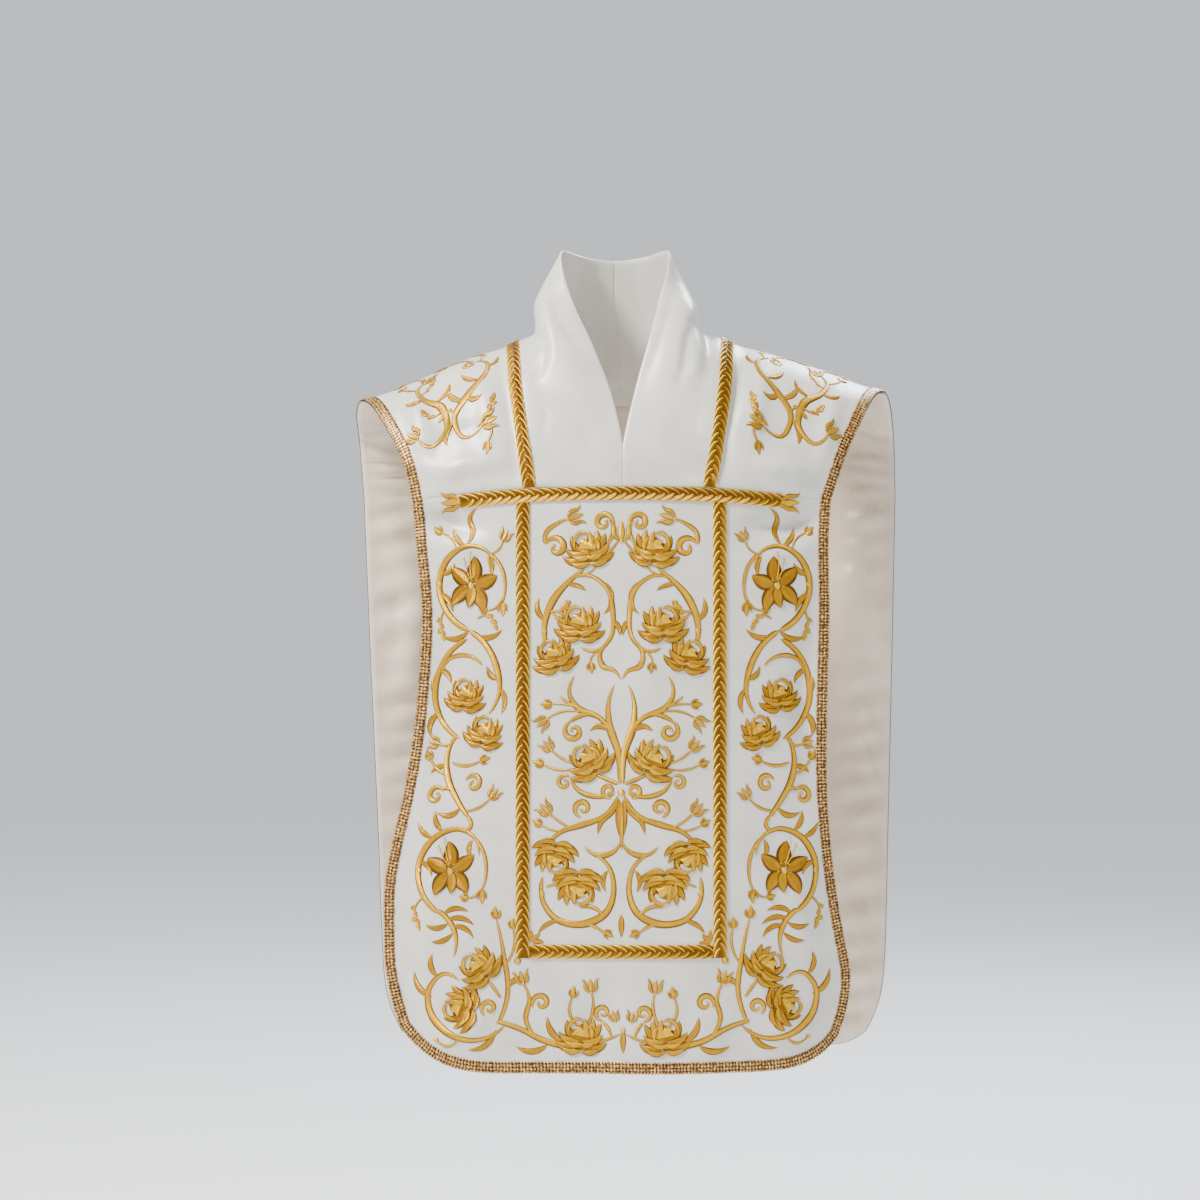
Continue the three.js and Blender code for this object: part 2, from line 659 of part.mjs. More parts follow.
// From the crossbar over the shoulder and down the back to the level of the back's bar.
function shoulderBraid(name, sign, material) {
  const line = braidLine[sign < 0 ? "left" : "right"];
  const end = 1 + (BACK_YOKE_HEIGHT - BACK_BAR_HEIGHT + BRAID_WIDTH / 2) / WRAP_MM;
  const route = (share) => {
    const wrap = lerp(SHOULDER_BRAID_START, end, share);
    return { x: sign * line(wrap), wrap };
  };
  return plaitedBraid(name, material, route, "x");
}

// ---- Finishes and the finished garment --------------------------------------------------------------------

function finish(color, roughness, metalness) {
  return new THREE.MeshStandardMaterial({ color, roughness, metalness });
}

const ivorySatin = () => finish(0xece8df, 0.5, 0);
const champagneLining = () => finish(0xc9b29a, 0.42, 0);
const goldBraid = () => finish(0xd0a349, 0.42, 0.25);
const oldGold = () => finish(0xa57f46, 0.45, 0.4);

const chasuble = new THREE.Group();
chasuble.name = "roman_chasuble";
chasuble.add(
  frontPanel(ivorySatin()),
  backPanel(ivorySatin()),
  neckHalf("neck_left", -1, ivorySatin()),
  neckHalf("neck_right", 1, ivorySatin()),
  backLining(champagneLining()),
  edgeGalloon(oldGold()),
  crossbarBraid(goldBraid()),
  columnBraid("column_braid_left", -1, goldBraid()),
  columnBraid("column_braid_right", 1, goldBraid()),
  barBraid(
    "front_bar_braid",
    true,
    BAR_HEIGHT,
    COLUMN_CENTRE - COLUMN_HALF,
    COLUMN_CENTRE + COLUMN_HALF,
    goldBraid(),
  ),
  shoulderBraid("shoulder_braid_left", -1, goldBraid()),
  shoulderBraid("shoulder_braid_right", 1, goldBraid()),
  barBraid(
    "back_bar_braid",
    false,
    BACK_BAR_HEIGHT,
    -braidLine.left(BACK_BAR_WRAP),
    braidLine.right(BACK_BAR_WRAP),
    goldBraid(),
  ),
);

export default chasuble;
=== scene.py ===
# %% [markdown]
# # A roman chasuble, sewn in Blender
# A roman chasuble is a stiff, sleeveless vestment: a front shaped like a fiddle, a longer back cut in
# one with both shoulders, and a tall collar piece set in between two braids. The CAD model already
# holds every cut piece as a solid wall. Here each wall gets its cloth: soft creases, a lining, plaited
# braids, a woven edge and gold embroidery. We load the CAD as a fixed frame.

# %% Load the frame
import math

import bpy
import numpy as np
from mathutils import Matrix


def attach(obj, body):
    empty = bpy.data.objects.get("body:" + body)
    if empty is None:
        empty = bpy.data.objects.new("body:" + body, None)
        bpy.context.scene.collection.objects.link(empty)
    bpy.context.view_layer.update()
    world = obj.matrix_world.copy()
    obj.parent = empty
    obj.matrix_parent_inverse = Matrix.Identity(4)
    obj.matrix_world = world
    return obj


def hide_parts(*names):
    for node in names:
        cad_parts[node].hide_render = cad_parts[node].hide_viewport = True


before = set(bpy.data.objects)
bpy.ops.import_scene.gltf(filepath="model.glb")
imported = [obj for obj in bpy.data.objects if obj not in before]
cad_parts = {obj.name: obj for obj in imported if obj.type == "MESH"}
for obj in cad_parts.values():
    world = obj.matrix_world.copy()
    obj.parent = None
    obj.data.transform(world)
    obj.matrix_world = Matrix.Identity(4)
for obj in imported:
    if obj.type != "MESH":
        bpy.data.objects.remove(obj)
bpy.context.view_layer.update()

# %% [markdown]
# ## Camera, floor and light
# The garment was seen square from the front at chest height, from a few steps away, so a fairly long
# lens looks level along +Y. A pale floor well below the hem, a bright plain surrounding and three large
# soft lamps stand in for a studio. Large lamps are the right choice for satin: they draw long, gentle
# sheens.

# %% Camera
LENS_AXIS_X = -0.0275  # metres; the middle of the view lies a little to the left of the garment's centre
LENS_HEIGHT = -0.325
LENS_DISTANCE = 3.5
LENS_MM = 84
SENSOR_MM = 36

camera_data = bpy.data.cameras.new("studio_camera")
camera_data.lens = LENS_MM
camera_data.sensor_width = SENSOR_MM
camera = bpy.data.objects.new("studio_camera", camera_data)
camera.location = (LENS_AXIS_X, -LENS_DISTANCE, LENS_HEIGHT)
camera.rotation_euler = (math.pi / 2, 0, 0)
bpy.context.scene.collection.objects.link(camera)
bpy.context.scene.camera = camera
print("camera at", tuple(camera.location))


# %% Floor and surroundings
FLOOR_HEIGHT = -1.32
FLOOR_RADIUS = 14
FLOOR_COLOR = (0.96, 0.965, 0.98)
AIR_COLOR = (0.91, 0.95, 1.0)
AIR_STRENGTH = 0.82


def plain_material(name, color, roughness):
    material = bpy.data.materials.new(name)
    material.use_nodes = True
    shader = material.node_tree.nodes["Principled BSDF"]
    shader.inputs["Base Color"].default_value = (*color, 1)
    shader.inputs["Roughness"].default_value = roughness
    return material


bpy.ops.mesh.primitive_circle_add(
    vertices=96, radius=FLOOR_RADIUS, fill_type="NGON", location=(0, 0, FLOOR_HEIGHT)
)
floor = bpy.context.object
floor.name = "studio_floor"
floor.data.materials.append(plain_material("pale_floor", FLOOR_COLOR, 0.9))

world = bpy.data.worlds.new("studio_air")
world.use_nodes = True
air = world.node_tree.nodes["Background"]
air.inputs["Color"].default_value = (*AIR_COLOR, 1)
air.inputs["Strength"].default_value = AIR_STRENGTH
bpy.context.scene.world = world
print("floor at", FLOOR_HEIGHT, "metres, air of strength", AIR_STRENGTH)

# %% Lamps
# name, place, the point it shines at, size across, watts, color
LAMPS = [
    ("key_lamp", (-2.1, -1.5, 2.3), (0, 0, -0.4), 0.8, 330, (1.0, 0.965, 0.91)),
    ("fill_lamp", (2.6, -2.6, 0.2), (0, 0, -0.45), 1.6, 10, (0.95, 0.97, 1.0)),
    ("back_lamp", (1.5, 2.4, 2.3), (0, 0, -0.4), 1.2, 175, (0.82, 0.92, 1.0)),
]


def soft_lamp(name, place, aim, size, watts, color):
    """A round lamp, which shines down its own -Z, turned towards its aim."""
    data = bpy.data.lights.new(name, "AREA")
    data.shape = "DISK"
    data.size = size
    data.energy = watts
    data.color = color
    lamp = bpy.data.objects.new(name, data)
    lamp.location = place
    direction = np.array(aim, float) - np.array(place, float)
    tilt = math.acos(-direction[2] / np.linalg.norm(direction))
    turn = math.atan2(direction[1], direction[0]) - math.pi / 2
    lamp.rotation_euler = (tilt, 0, turn)
    bpy.context.scene.collection.objects.link(lamp)


for lamp_values in LAMPS:
    soft_lamp(*lamp_values)
print("lamps:", [lamp.name for lamp in bpy.data.lights])


# %% [markdown]
# ## One smooth cloth form under everything
# Every piece of this garment lies on the same surface: up the front, over the shoulders and down the
# back. It could be modelled by hand, but then each braid and petal would have to be fitted to it again.
# Written as one function of two plain coordinates, everything can be laid on it: `x` is the distance to
# the side, and `wrap` runs from the front (-1 is the chest seam) over the ridge of the shoulders (0) to
# the back (+1). The sizes are those of the garment, in millimetres. A small curve-drawing helper turns
# short lists into smooth lines.

# %% Smooth curves through a few measured places
MM = 0.001  # one millimetre, in metres


def curve_through(places, values):
    """A smooth curve: a cubic between neighbours, each slope taken from the two places beside it."""
    places = np.array(places, float)
    values = np.array(values, float)
    order = np.arange(len(places))
    before = np.maximum(order - 1, 0)
    after = np.minimum(order + 1, len(places) - 1)
    slopes = (values[after] - values[before]) / (places[after] - places[before])

    def value_at(place):
        place = np.clip(place, places[0], places[-1])
        i = np.clip(np.searchsorted(places, place, side="right") - 1, 0, len(places) - 2)
        span = places[i + 1] - places[i]
        t = (place - places[i]) / span
        rise = values[i + 1] - values[i]
        bend = (slopes[i] * span - rise) * (1 - t) + (rise - slopes[i + 1] * span) * t
        return values[i] + rise * t + t * (1 - t) * bend

    return value_at


def curve_pair(places, left, right):
    """One curve for each side of the garment, picked by the sign of x."""
    left_curve = curve_through(places, left)
    right_curve = curve_through(places, right)
    return lambda x, place: np.where(x < 0, left_curve(place), right_curve(place))


print("a curve through 0, 4 and 5, halfway to its end:", curve_through([0, 1, 2], [0, 4, 5])(1.5))

# %% Heights and widths of the garment
WRAP_MM = 1000  # millimetres of fall for one unit of wrap, below the arch of the shoulders
CHEST_SEAM = -189  # heights at the middle of the garment
YOKE_BACK = -190
FRONT_HEM = -889
BACK_HEM = -912
BACK_CORNER = -879  # where the sides of the back end
BACK_CENTRE = 16  # the back hangs a little to the wearer's left
COLUMN_CENTRE = -2
COLUMN_HALF = 118
print("the front falls", -FRONT_HEM, "mm and the back", -BACK_HEM, "mm below the ridge")

# %% The form: height of the ridge, and depth of front and back
ridge_height = curve_pair(
    [0, 60, 105, 145, 200, 250, 300, 350],
    [14, 13, 8, -9, -27, -49, -69, -81],
    [14, 13, 8, -7, -22, -38, -57, -71],
)
arch_drop = curve_through([0, 150, 220, 270, 330, 360], [170, 165, 135, 105, 62, 55])
front_heights = [-900, -650, -450, -190, -60, 20]
front_middle = curve_through(front_heights, [163, 157, 152, 146, 135, 128])
front_side = curve_pair(front_heights, [28, 34, 44, 48, 48, 48], [74, 62, 50, 48, 48, 48])
back_heights = [-950, -700, -400, -190, -60, 20]
back_middle = curve_through(back_heights, [142, 134, 127, 130, 126, 120])
back_side = curve_through(back_heights, [46, 44, 42, 42, 42, 42])
print("depth at chest height:", round(float(front_middle(-325) + back_middle(-325))), "mm")

# %% The cut: how far out the edges and the neck piece's seams lie
front_edge = curve_pair(
    [-852, -838, -820, -790, -733, -685, -620, -541, -445, -325, -240, -189],
    [252, 266, 277, 285, 287, 286, 277, 262, 249, 242, 249, 254],
    [261, 270, 275, 275, 267, 260, 252, 246, 246, 249, 248, 251],
)
shoulder_edge = curve_pair(
    [-1, -0.85, -0.72, -0.6, -0.45, -0.15, 0, 0.3, 0.6, 1],
    [254, 261, 271, 282, 295, 317, 326, 335, 334, 329],
    [251, 263, 274, 285, 297, 318, 328, 341, 348, 350],
)
back_edge = curve_pair(
    [-879, -866, -845, -800, -650, -400, -190],
    [283, 294, 302, 306, 311, 321, 329],
    [315, 326, 334, 338, 341, 346, 350],
)
braid_line = curve_pair(
    [-1, -0.88, -0.7, -0.48, 0, 0.5, 1, 1.3],
    [112, 117, 124, 131, 136, 131, 122, 120],
    [103, 110, 118, 125, 131, 127, 120, 116],
)
print("width over the shoulders:", round(float(shoulder_edge(-1.0, 0) + shoulder_edge(1.0, 0))), "mm")

# %% Seam and hems, which rise or dip towards the sides
# from how far out, over what distance, how high, and the power of the curve
SEAM_DIP = (0, 235, 14, 2.4)
FRONT_RISE_LEFT = (120, 146, 51, 3.6)
FRONT_RISE_RIGHT = (90, 171, 37, 6)
BACK_RISE = (0, 265, 14, 2)
BACK_CORNER_RISE = (262, 36.5, 15, 2)


def risen(out, start, over, rise, power):
    """How much a line has risen at this distance out, if it leaves the level at start."""
    return rise * (np.maximum(0, out - start) / over) ** power


def chest_seam(x):
    return CHEST_SEAM - risen(np.abs(x), *SEAM_DIP)


def front_hem(x):
    out = np.abs(x)
    return FRONT_HEM + np.where(x < 0, risen(out, *FRONT_RISE_LEFT), risen(out, *FRONT_RISE_RIGHT))


def back_hem(x):
    out = np.abs(x - BACK_CENTRE)
    return BACK_HEM + risen(out, *BACK_RISE) + risen(out, *BACK_CORNER_RISE)


print("heights at 240 mm to the right:", np.round([chest_seam(240), front_hem(240), back_hem(240)]))


# %% [markdown]
# ## Folds and creases
# Stiffened satin doesn't crumple. It stands in long, shallow waves, with a few sharper dents where a
# braid or the wearer pulls on it. A simulation would give it too many small wrinkles, so each crease is
# given one by one: a line on the cloth, how wide the trough or ridge is, and how far it stands in or out.
# No two are alike in length, depth or spacing, which is what makes them look like cloth.

# %% Long soft folds
# each fold: middle, lean towards the hem, width, height, level where it starts
FRONT_FOLDS = [
    (-205, 30, 55, 7, -420),
    (-70, -20, 60, -4, -560),
    (60, 15, 55, 5, -600),
    (190, -25, 50, 6, -480),
]
BACK_FOLDS = [
    (-235, 40, 50, 12, -240),
    (-120, 25, 45, -8, -380),
    (20, -10, 60, 9, -330),
    (140, -20, 45, -7, -430),
    (260, -35, 50, 10, -260),
]


def ease(value, start, end):
    """From 0 at start to 1 at end, gently."""
    t = np.clip((value - start) / (end - start), 0, 1)
    return t * t * (3 - 2 * t)


def fold_depth(folds, hem, x, z):
    """The sum of all folds, which open from their top level down to the hem."""
    total = np.zeros_like(x)
    for middle, lean, width, out, top in folds:
        opened = 1 - ease(z, hem, top)
        total += out * opened * np.exp(-(((x - middle - lean * (1 - opened)) / width) ** 2))
    return total


print(len(FRONT_FOLDS), "folds in front and", len(BACK_FOLDS), "behind")

# %% Dents and creases of the front
# x, z, width, height, how far out: puffs above the ends of the chest seam and hollows below them
FRONT_DENTS = [
    (-205, -166, 46, 17, 6),
    (200, -168, 46, 17, 6),
    (-205, -230, 40, 19, -9),
    (207, -234, 40, 20, -9),
]
CREASE_STRENGTH = 3.1
# points (x, z) that a crease follows, its half width, and how far it stands out
FRONT_CREASES = [
    ([(-236, -196), (-160, -186), (0, -181), (150, -184), (236, -197)], 4.5, 1.3),
    ([(-232, -222), (-205, -234), (-172, -240)], 9, -2.2),
    ([(-240, -250), (-212, -262), (-150, -262)], 13, 1.2),
    ([(232, -222), (200, -236), (150, -238)], 9, -2.2),
    ([(240, -252), (205, -266), (160, -270)], 12, 1.3),
    ([(-222, -176), (-190, -160), (-150, -158)], 10, 1.8),
    ([(226, -178), (196, -164), (150, -160)], 10, 1.8),
    ([(-240, -150), (-205, -122), (-160, -112)], 12, -1.6),
    ([(244, -152), (205, -128), (150, -118)], 12, -1.6),
    ([(-152, -22), (-141, -70), (-131, -130), (-128, -176)], 8, -1.7),
    ([(-176, -40), (-166, -90), (-160, -150)], 13, 1.5),
    ([(150, -18), (138, -70), (126, -125), (121, -178)], 8, -2.0),
    ([(176, -34), (163, -90), (152, -150)], 13, 1.6),
    ([(-262, -62), (-247, -112), (-238, -160)], 12, 1.6),
    ([(268, -60), (252, -112), (240, -160)], 12, 1.6),
    ([(-236, -330), (-212, -420), (-226, -560)], 17, -1.6),
    ([(-250, -520), (-222, -640), (-246, -790)], 20, 1.9),
    ([(236, -330), (216, -430), (226, -560)], 17, -1.8),
    ([(232, -560), (212, -680), (232, -820)], 19, 1.7),
    ([(-150, -790), (-178, -838), (-228, -852)], 12, 1.5),
    ([(-252, -760), (-262, -800), (-236, -842)], 9, -1.5),
    ([(160, -800), (196, -838), (236, -846)], 13, 1.4),
    ([(-40, -300), (-26, -470), (-44, -640)], 30, -0.9),
    ([(48, -280), (30, -430), (52, -600)], 32, 0.8),
    ([(-20, -790), (-34, -838), (-28, -886)], 22, -1.6),
    ([(92, -800), (104, -842), (96, -884)], 20, 1.4),
]
print(len(FRONT_DENTS), "dents and", len(FRONT_CREASES), "creases in front")

# %% Creases of the back
BACK_CREASES = [
    ([(-250, -60), (-215, -120), (-200, -230)], 14, -2.2),
    ([(262, -60), (228, -130), (214, -240)], 14, -2.4),
    ([(-170, -50), (-160, -140), (-172, -260)], 16, 1.8),
    ([(180, -48), (172, -150), (184, -280)], 16, 1.9),
    ([(-90, -150), (-96, -260), (-84, -380)], 20, -1.6),
    ([(84, -150), (92, -250), (78, -360)], 20, -1.5),
    ([(-290, -230), (-262, -330), (-276, -470)], 18, -3.0),
    ([(312, -230), (286, -340), (300, -500)], 18, -3.2),
    ([(-60, -420), (-44, -560), (-62, -730)], 24, -2.0),
    ([(80, -380), (96, -520), (82, -700)], 22, 1.8),
    ([(-200, -560), (-182, -700), (-204, -880)], 18, -2.6),
    ([(200, -600), (216, -740), (200, -890)], 18, -2.4),
    ([(-280, -680), (-262, -790), (-250, -872)], 16, 2.2),
    ([(300, -660), (290, -780), (276, -872)], 16, 2.0),
    ([(-20, -800), (-8, -850), (-24, -908)], 16, 1.8),
]
print(len(BACK_CREASES), "creases behind")


# %% How far the creases stand out at a place
def crease_depth(creases, x, z):
    """The sum of all creases at a place of the cloth; each fades out at both its ends."""
    shape = x.shape
    total = np.zeros(x.size)
    all_x, all_z = x.ravel(), z.ravel()
    for points, half_width, out in creases:
        corners = np.array(points, float)
        low, high = corners.min(0) - 3 * half_width, corners.max(0) + 3 * half_width
        inside = (all_x > low[0]) & (all_x < high[0]) & (all_z > low[1]) & (all_z < high[1])
        if not inside.any():
            continue
        x, z = all_x[inside], all_z[inside]
        steps = np.diff(corners, axis=0)
        lengths = np.linalg.norm(steps, axis=1)
        starts = np.concatenate([[0], np.cumsum(lengths)])
        nearest = np.full_like(x, 1e12)
        share = np.zeros_like(x)
        for corner, step, length, start in zip(corners, steps, lengths, starts):
            t = np.clip(((x - corner[0]) * step[0] + (z - corner[1]) * step[1]) / length**2, 0, 1)
            gap = (x - corner[0] - t * step[0]) ** 2 + (z - corner[1] - t * step[1]) ** 2
            share = np.where(gap < nearest, (start + t * length) / starts[-1], share)
            nearest = np.minimum(nearest, gap)
        fade = np.sin(np.pi * np.clip(share, 0.04, 0.96)) ** 0.6
        total[inside] += out * fade * np.exp(-nearest / half_width**2)
    return total.reshape(shape)


hollow = crease_depth(FRONT_CREASES, np.array([-205.0]), np.array([-234.0]))
print("crease below the left end of the chest seam:", np.round(hollow[0], 2))


# %% The cloth as a function
FRONT_SPREAD = (290, 2.2)  # how far out a panel has turned back fully, and the power of its curve
BACK_SPREAD = (340, 2.4)


def cloth(x, wrap):
    """Points of the cloth's outer face, in millimetres."""
    x, wrap = np.broadcast_arrays(np.asarray(x, float), np.asarray(wrap, float))
    front = wrap < 0
    reach = np.abs(wrap)
    out = np.abs(x)
    top = ridge_height(x, out)
    seam = np.where(front, chest_seam(x), YOKE_BACK)
    arched = top - (top - seam) * (1 - np.cos(np.minimum(reach, 1) * np.pi / 2))
    z = np.where(reach < 1, arched, seam - (reach - 1) * WRAP_MM)
    fall = np.minimum(1, (top - z) / arch_drop(out))
    forward = np.sqrt(1 - (1 - fall) ** 2)
    front_depth = front_middle(z) - front_side(x, z) * (out / FRONT_SPREAD[0]) ** FRONT_SPREAD[1]
    back_out = np.abs(x - BACK_CENTRE)
    back_depth = back_middle(z) - back_side(z) * (back_out / BACK_SPREAD[0]) ** BACK_SPREAD[1]
    front_folds = fold_depth(FRONT_FOLDS, FRONT_HEM, x, z)
    back_folds = fold_depth(BACK_FOLDS, BACK_HEM, x, z)
    folds = np.where(front, front_folds, back_folds)
    for dent_x, dent_z, wide, tall, proud in FRONT_DENTS:
        dent = proud * np.exp(-(((x - dent_x) / wide) ** 2) - ((z - dent_z) / tall) ** 2)
        folds = folds + np.where(front, dent, 0)
    depth = np.where(front, front_depth, back_depth) * forward + folds * fall
    on_front = crease_depth(FRONT_CREASES, x, z) if front.any() else 0
    on_back = crease_depth(BACK_CREASES, x, z) if not front.all() else 0
    creases = CREASE_STRENGTH * np.where(front, on_front, on_back)
    slant = np.hypot(forward, 1 - fall)
    depth = depth + creases * forward / slant
    z = z + creases * (1 - fall) / slant
    return np.stack([x, np.where(front, -depth, depth), z], axis=-1)


print("top of the left shoulder end:", np.round(cloth(-326.0, 0.0), 1))


# %% Directions and heights on the cloth
NUDGE_MM = 0.5
NUDGE_WRAP = 0.0015


def cloth_normal(x, wrap):
    """Outward directions of the cloth, from points a little to each side."""
    across = cloth(x + NUDGE_MM, wrap) - cloth(x - NUDGE_MM, wrap)
    along = cloth(x, wrap + NUDGE_WRAP) - cloth(x, wrap - NUDGE_WRAP)
    normal = np.cross(across, along)
    return normal / np.linalg.norm(normal, axis=-1, keepdims=True)


def wrap_on_front(x, z):
    """The wrap of a height on the front, below or above the chest seam."""
    top = ridge_height(x, np.abs(x))
    seam = chest_seam(x)
    arched = -np.arccos(np.clip(1 - (top - z) / (top - seam), 0, 1)) * 2 / np.pi
    return np.where(z < seam, -(1 + (seam - z) / WRAP_MM), arched)


def wrap_on_back(z):
    return 1 + (YOKE_BACK - z) / WRAP_MM


print("outwards at the middle of the chest:", np.round(cloth_normal(0.0, wrap_on_front(0.0, -325.0)), 2))

# %% [markdown]
# ## Cut pieces as thin shells
# A cut piece of satin has a face, a back and a folded edge. Blender's Solidify modifier could thicken a
# single sheet, but here we want different cloth on the inside of the front, and rounded edges that
# catch the light. So a helper takes a grid of points and builds the outer face, the inner face and a
# soft rim between them.


# %% From points and faces to a piece
def link_mesh(name, vertices, faces, materials, face_slots=None, maps=None, tones=None):
    """A smooth mesh object from millimetre points, with optional map coordinates and tones."""
    mesh = bpy.data.meshes.new(name)
    mesh.from_pydata((vertices * MM).tolist(), [], faces)
    for material in materials:
        mesh.materials.append(material)
    mesh.polygons.foreach_set("use_smooth", np.ones(len(mesh.polygons), bool))
    if face_slots is not None:
        mesh.polygons.foreach_set("material_index", np.array(face_slots, np.int32))
    if maps is not None:
        layer = mesh.uv_layers.new(name="cloth_map")
        corner = np.zeros(len(mesh.loops), np.int32)
        mesh.loops.foreach_get("vertex_index", corner)
        layer.data.foreach_set("uv", (maps[corner] * MM).astype(np.float32).ravel())
    if tones is not None:
        layer = mesh.attributes.new("tone", "FLOAT", "POINT")
        layer.data.foreach_set("value", np.asarray(tones, np.float32))
    mesh.update()
    piece = bpy.data.objects.new(name, mesh)
    bpy.context.scene.collection.objects.link(piece)
    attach(piece, "root")
    return piece


# %% The open edge of a set of squares
def rim_edges(squares, point_count):
    """Edges that belong to one square only, as pairs of point numbers."""
    edges = np.concatenate([squares[:, [i, (i + 1) % 4]] for i in range(4)])
    keys = edges.min(1) * point_count + edges.max(1)
    _, first, counts = np.unique(keys, return_index=True, return_counts=True)
    return edges[first[counts == 1]]


two_squares = np.array([[0, 1, 4, 3], [1, 2, 5, 4]])
print("two squares side by side have", len(rim_edges(two_squares, 6)), "open edges")

# %% From a grid of points to a shell
FOLDED_EDGE = 0.45  # how far a folded edge bulges, as a share of the thickness


def shell(name, points, normals, thickness, materials, maps, cells=None):
    """A closed wall of cloth. cells says which squares of the grid belong to the piece."""
    rows, columns = points.shape[:2]
    if cells is None:
        cells = np.ones((rows - 1, columns - 1), bool)
    number = np.arange(rows * columns).reshape(rows, columns)
    squares = np.stack([number[:-1, :-1], number[:-1, 1:], number[1:, 1:], number[1:, :-1]], -1)[cells]
    rim = rim_edges(squares, rows * columns)
    outer = points.reshape(-1, 3)
    normal = normals.reshape(-1, 3)
    inner = outer - thickness * normal
    outward = np.zeros_like(outer)
    edge_out = np.cross(outer[rim[:, 1]] - outer[rim[:, 0]], normal[rim[:, 0]])
    np.add.at(outward, rim[:, 0], edge_out)
    np.add.at(outward, rim[:, 1], edge_out)
    outward /= np.maximum(np.linalg.norm(outward, axis=1, keepdims=True), 1e-9)
    fold = (outer + inner) / 2 + outward * thickness * FOLDED_EDGE
    count = len(outer)
    a, b = rim[:, 0], rim[:, 1]
    faces = np.concatenate(
        [
            squares,
            squares[:, ::-1] + count,
            np.stack([b, a, a + 2 * count, b + 2 * count], 1),
            np.stack([b + 2 * count, a + 2 * count, a + count, b + count], 1),
        ]
    )
    slots = np.zeros(len(faces), int)
    slots[len(squares) : 2 * len(squares)] = len(materials) - 1
    used = np.unique(faces)
    renumber = np.zeros(3 * count, int)
    renumber[used] = np.arange(len(used))
    vertices = np.concatenate([outer, inner, fold])[used]
    flat_maps = np.tile(maps.reshape(-1, 2), (3, 1))[used]
    piece = link_mesh(name, vertices, renumber[faces].tolist(), materials, slots, flat_maps)
    side_a = outer[squares[:, 1]] - outer[squares[:, 0]]
    side_b = outer[squares[:, 3]] - outer[squares[:, 0]]
    area = np.linalg.norm(np.cross(side_a, side_b), axis=1).sum() / 1e6
    print(f"{name}: {2 * len(faces)} triangles, {area:.3f} square metres")
    return piece


# %% Map coordinates, and a whole panel
def cloth_map(points):
    """Map coordinates in millimetres of cloth: across from the middle, and up along each column."""
    steps = np.linalg.norm(np.diff(points, axis=0), axis=2)
    along = np.concatenate([np.zeros((1, points.shape[1])), np.cumsum(steps, axis=0)])
    return np.stack([points[..., 0], along], axis=-1)


def panel(name, x, wrap, lift, thickness, materials, cells=None):
    """A cut piece on the cloth form, lifted off it by some millimetres here and there."""
    normal = cloth_normal(x, wrap)
    points = cloth(x, wrap) + normal * lift[..., None]
    return shell(name, points, normal, thickness, materials, cloth_map(points), cells)


# %% [markdown]
# ## Cloth and thread finishes
# Satin shows long floating threads, so it has a soft sheen and a fine rib across the cloth rather than
# a hard gloss. Both are made from nodes: a wave pattern for the rib, a slow noise for the uneven
# tension of the weave, and constant sheen and roughness on the shader. Gold thread catches the light
# where it stands up and lies in shade where it dives under its neighbour. Each thread piece carries a
# `tone` from dark to light, which paints this light and shade into its colour, along with its own
# unevenness.


# %% A finish in the making
class Finish:
    """A material with its constant numbers straight on the shader, to which nodes are added."""

    def __init__(self, name, roughness, sheen=0.0, metallic=0.0, anisotropic=0.0, specular=0.5):
        self.material = plain_material(name, (0.8, 0.8, 0.8), roughness)
        self.shader = self.material.node_tree.nodes["Principled BSDF"]
        self.shader.inputs["Sheen Weight"].default_value = sheen
        self.shader.inputs["Sheen Roughness"].default_value = 0.45
        self.shader.inputs["Metallic"].default_value = metallic
        self.shader.inputs["Anisotropic"].default_value = anisotropic
        self.shader.inputs["Specular IOR Level"].default_value = specular

    def link(self, source, socket):
        self.material.node_tree.links.new(source, socket)

    def feed(self, source, socket):
        """Lets a node's output drive one of the shader's sockets."""
        self.link(source, self.shader.inputs[socket])

    def node(self, kind, constants=None, sources=None):
        """A new node with its constant numbers and with what is linked into it."""
        node = self.material.node_tree.nodes.new(kind)
        for socket, value in (constants or {}).items():
            node.inputs[socket].default_value = value
        for socket, source in (sources or {}).items():
            self.link(source, node.inputs[socket])
        return node


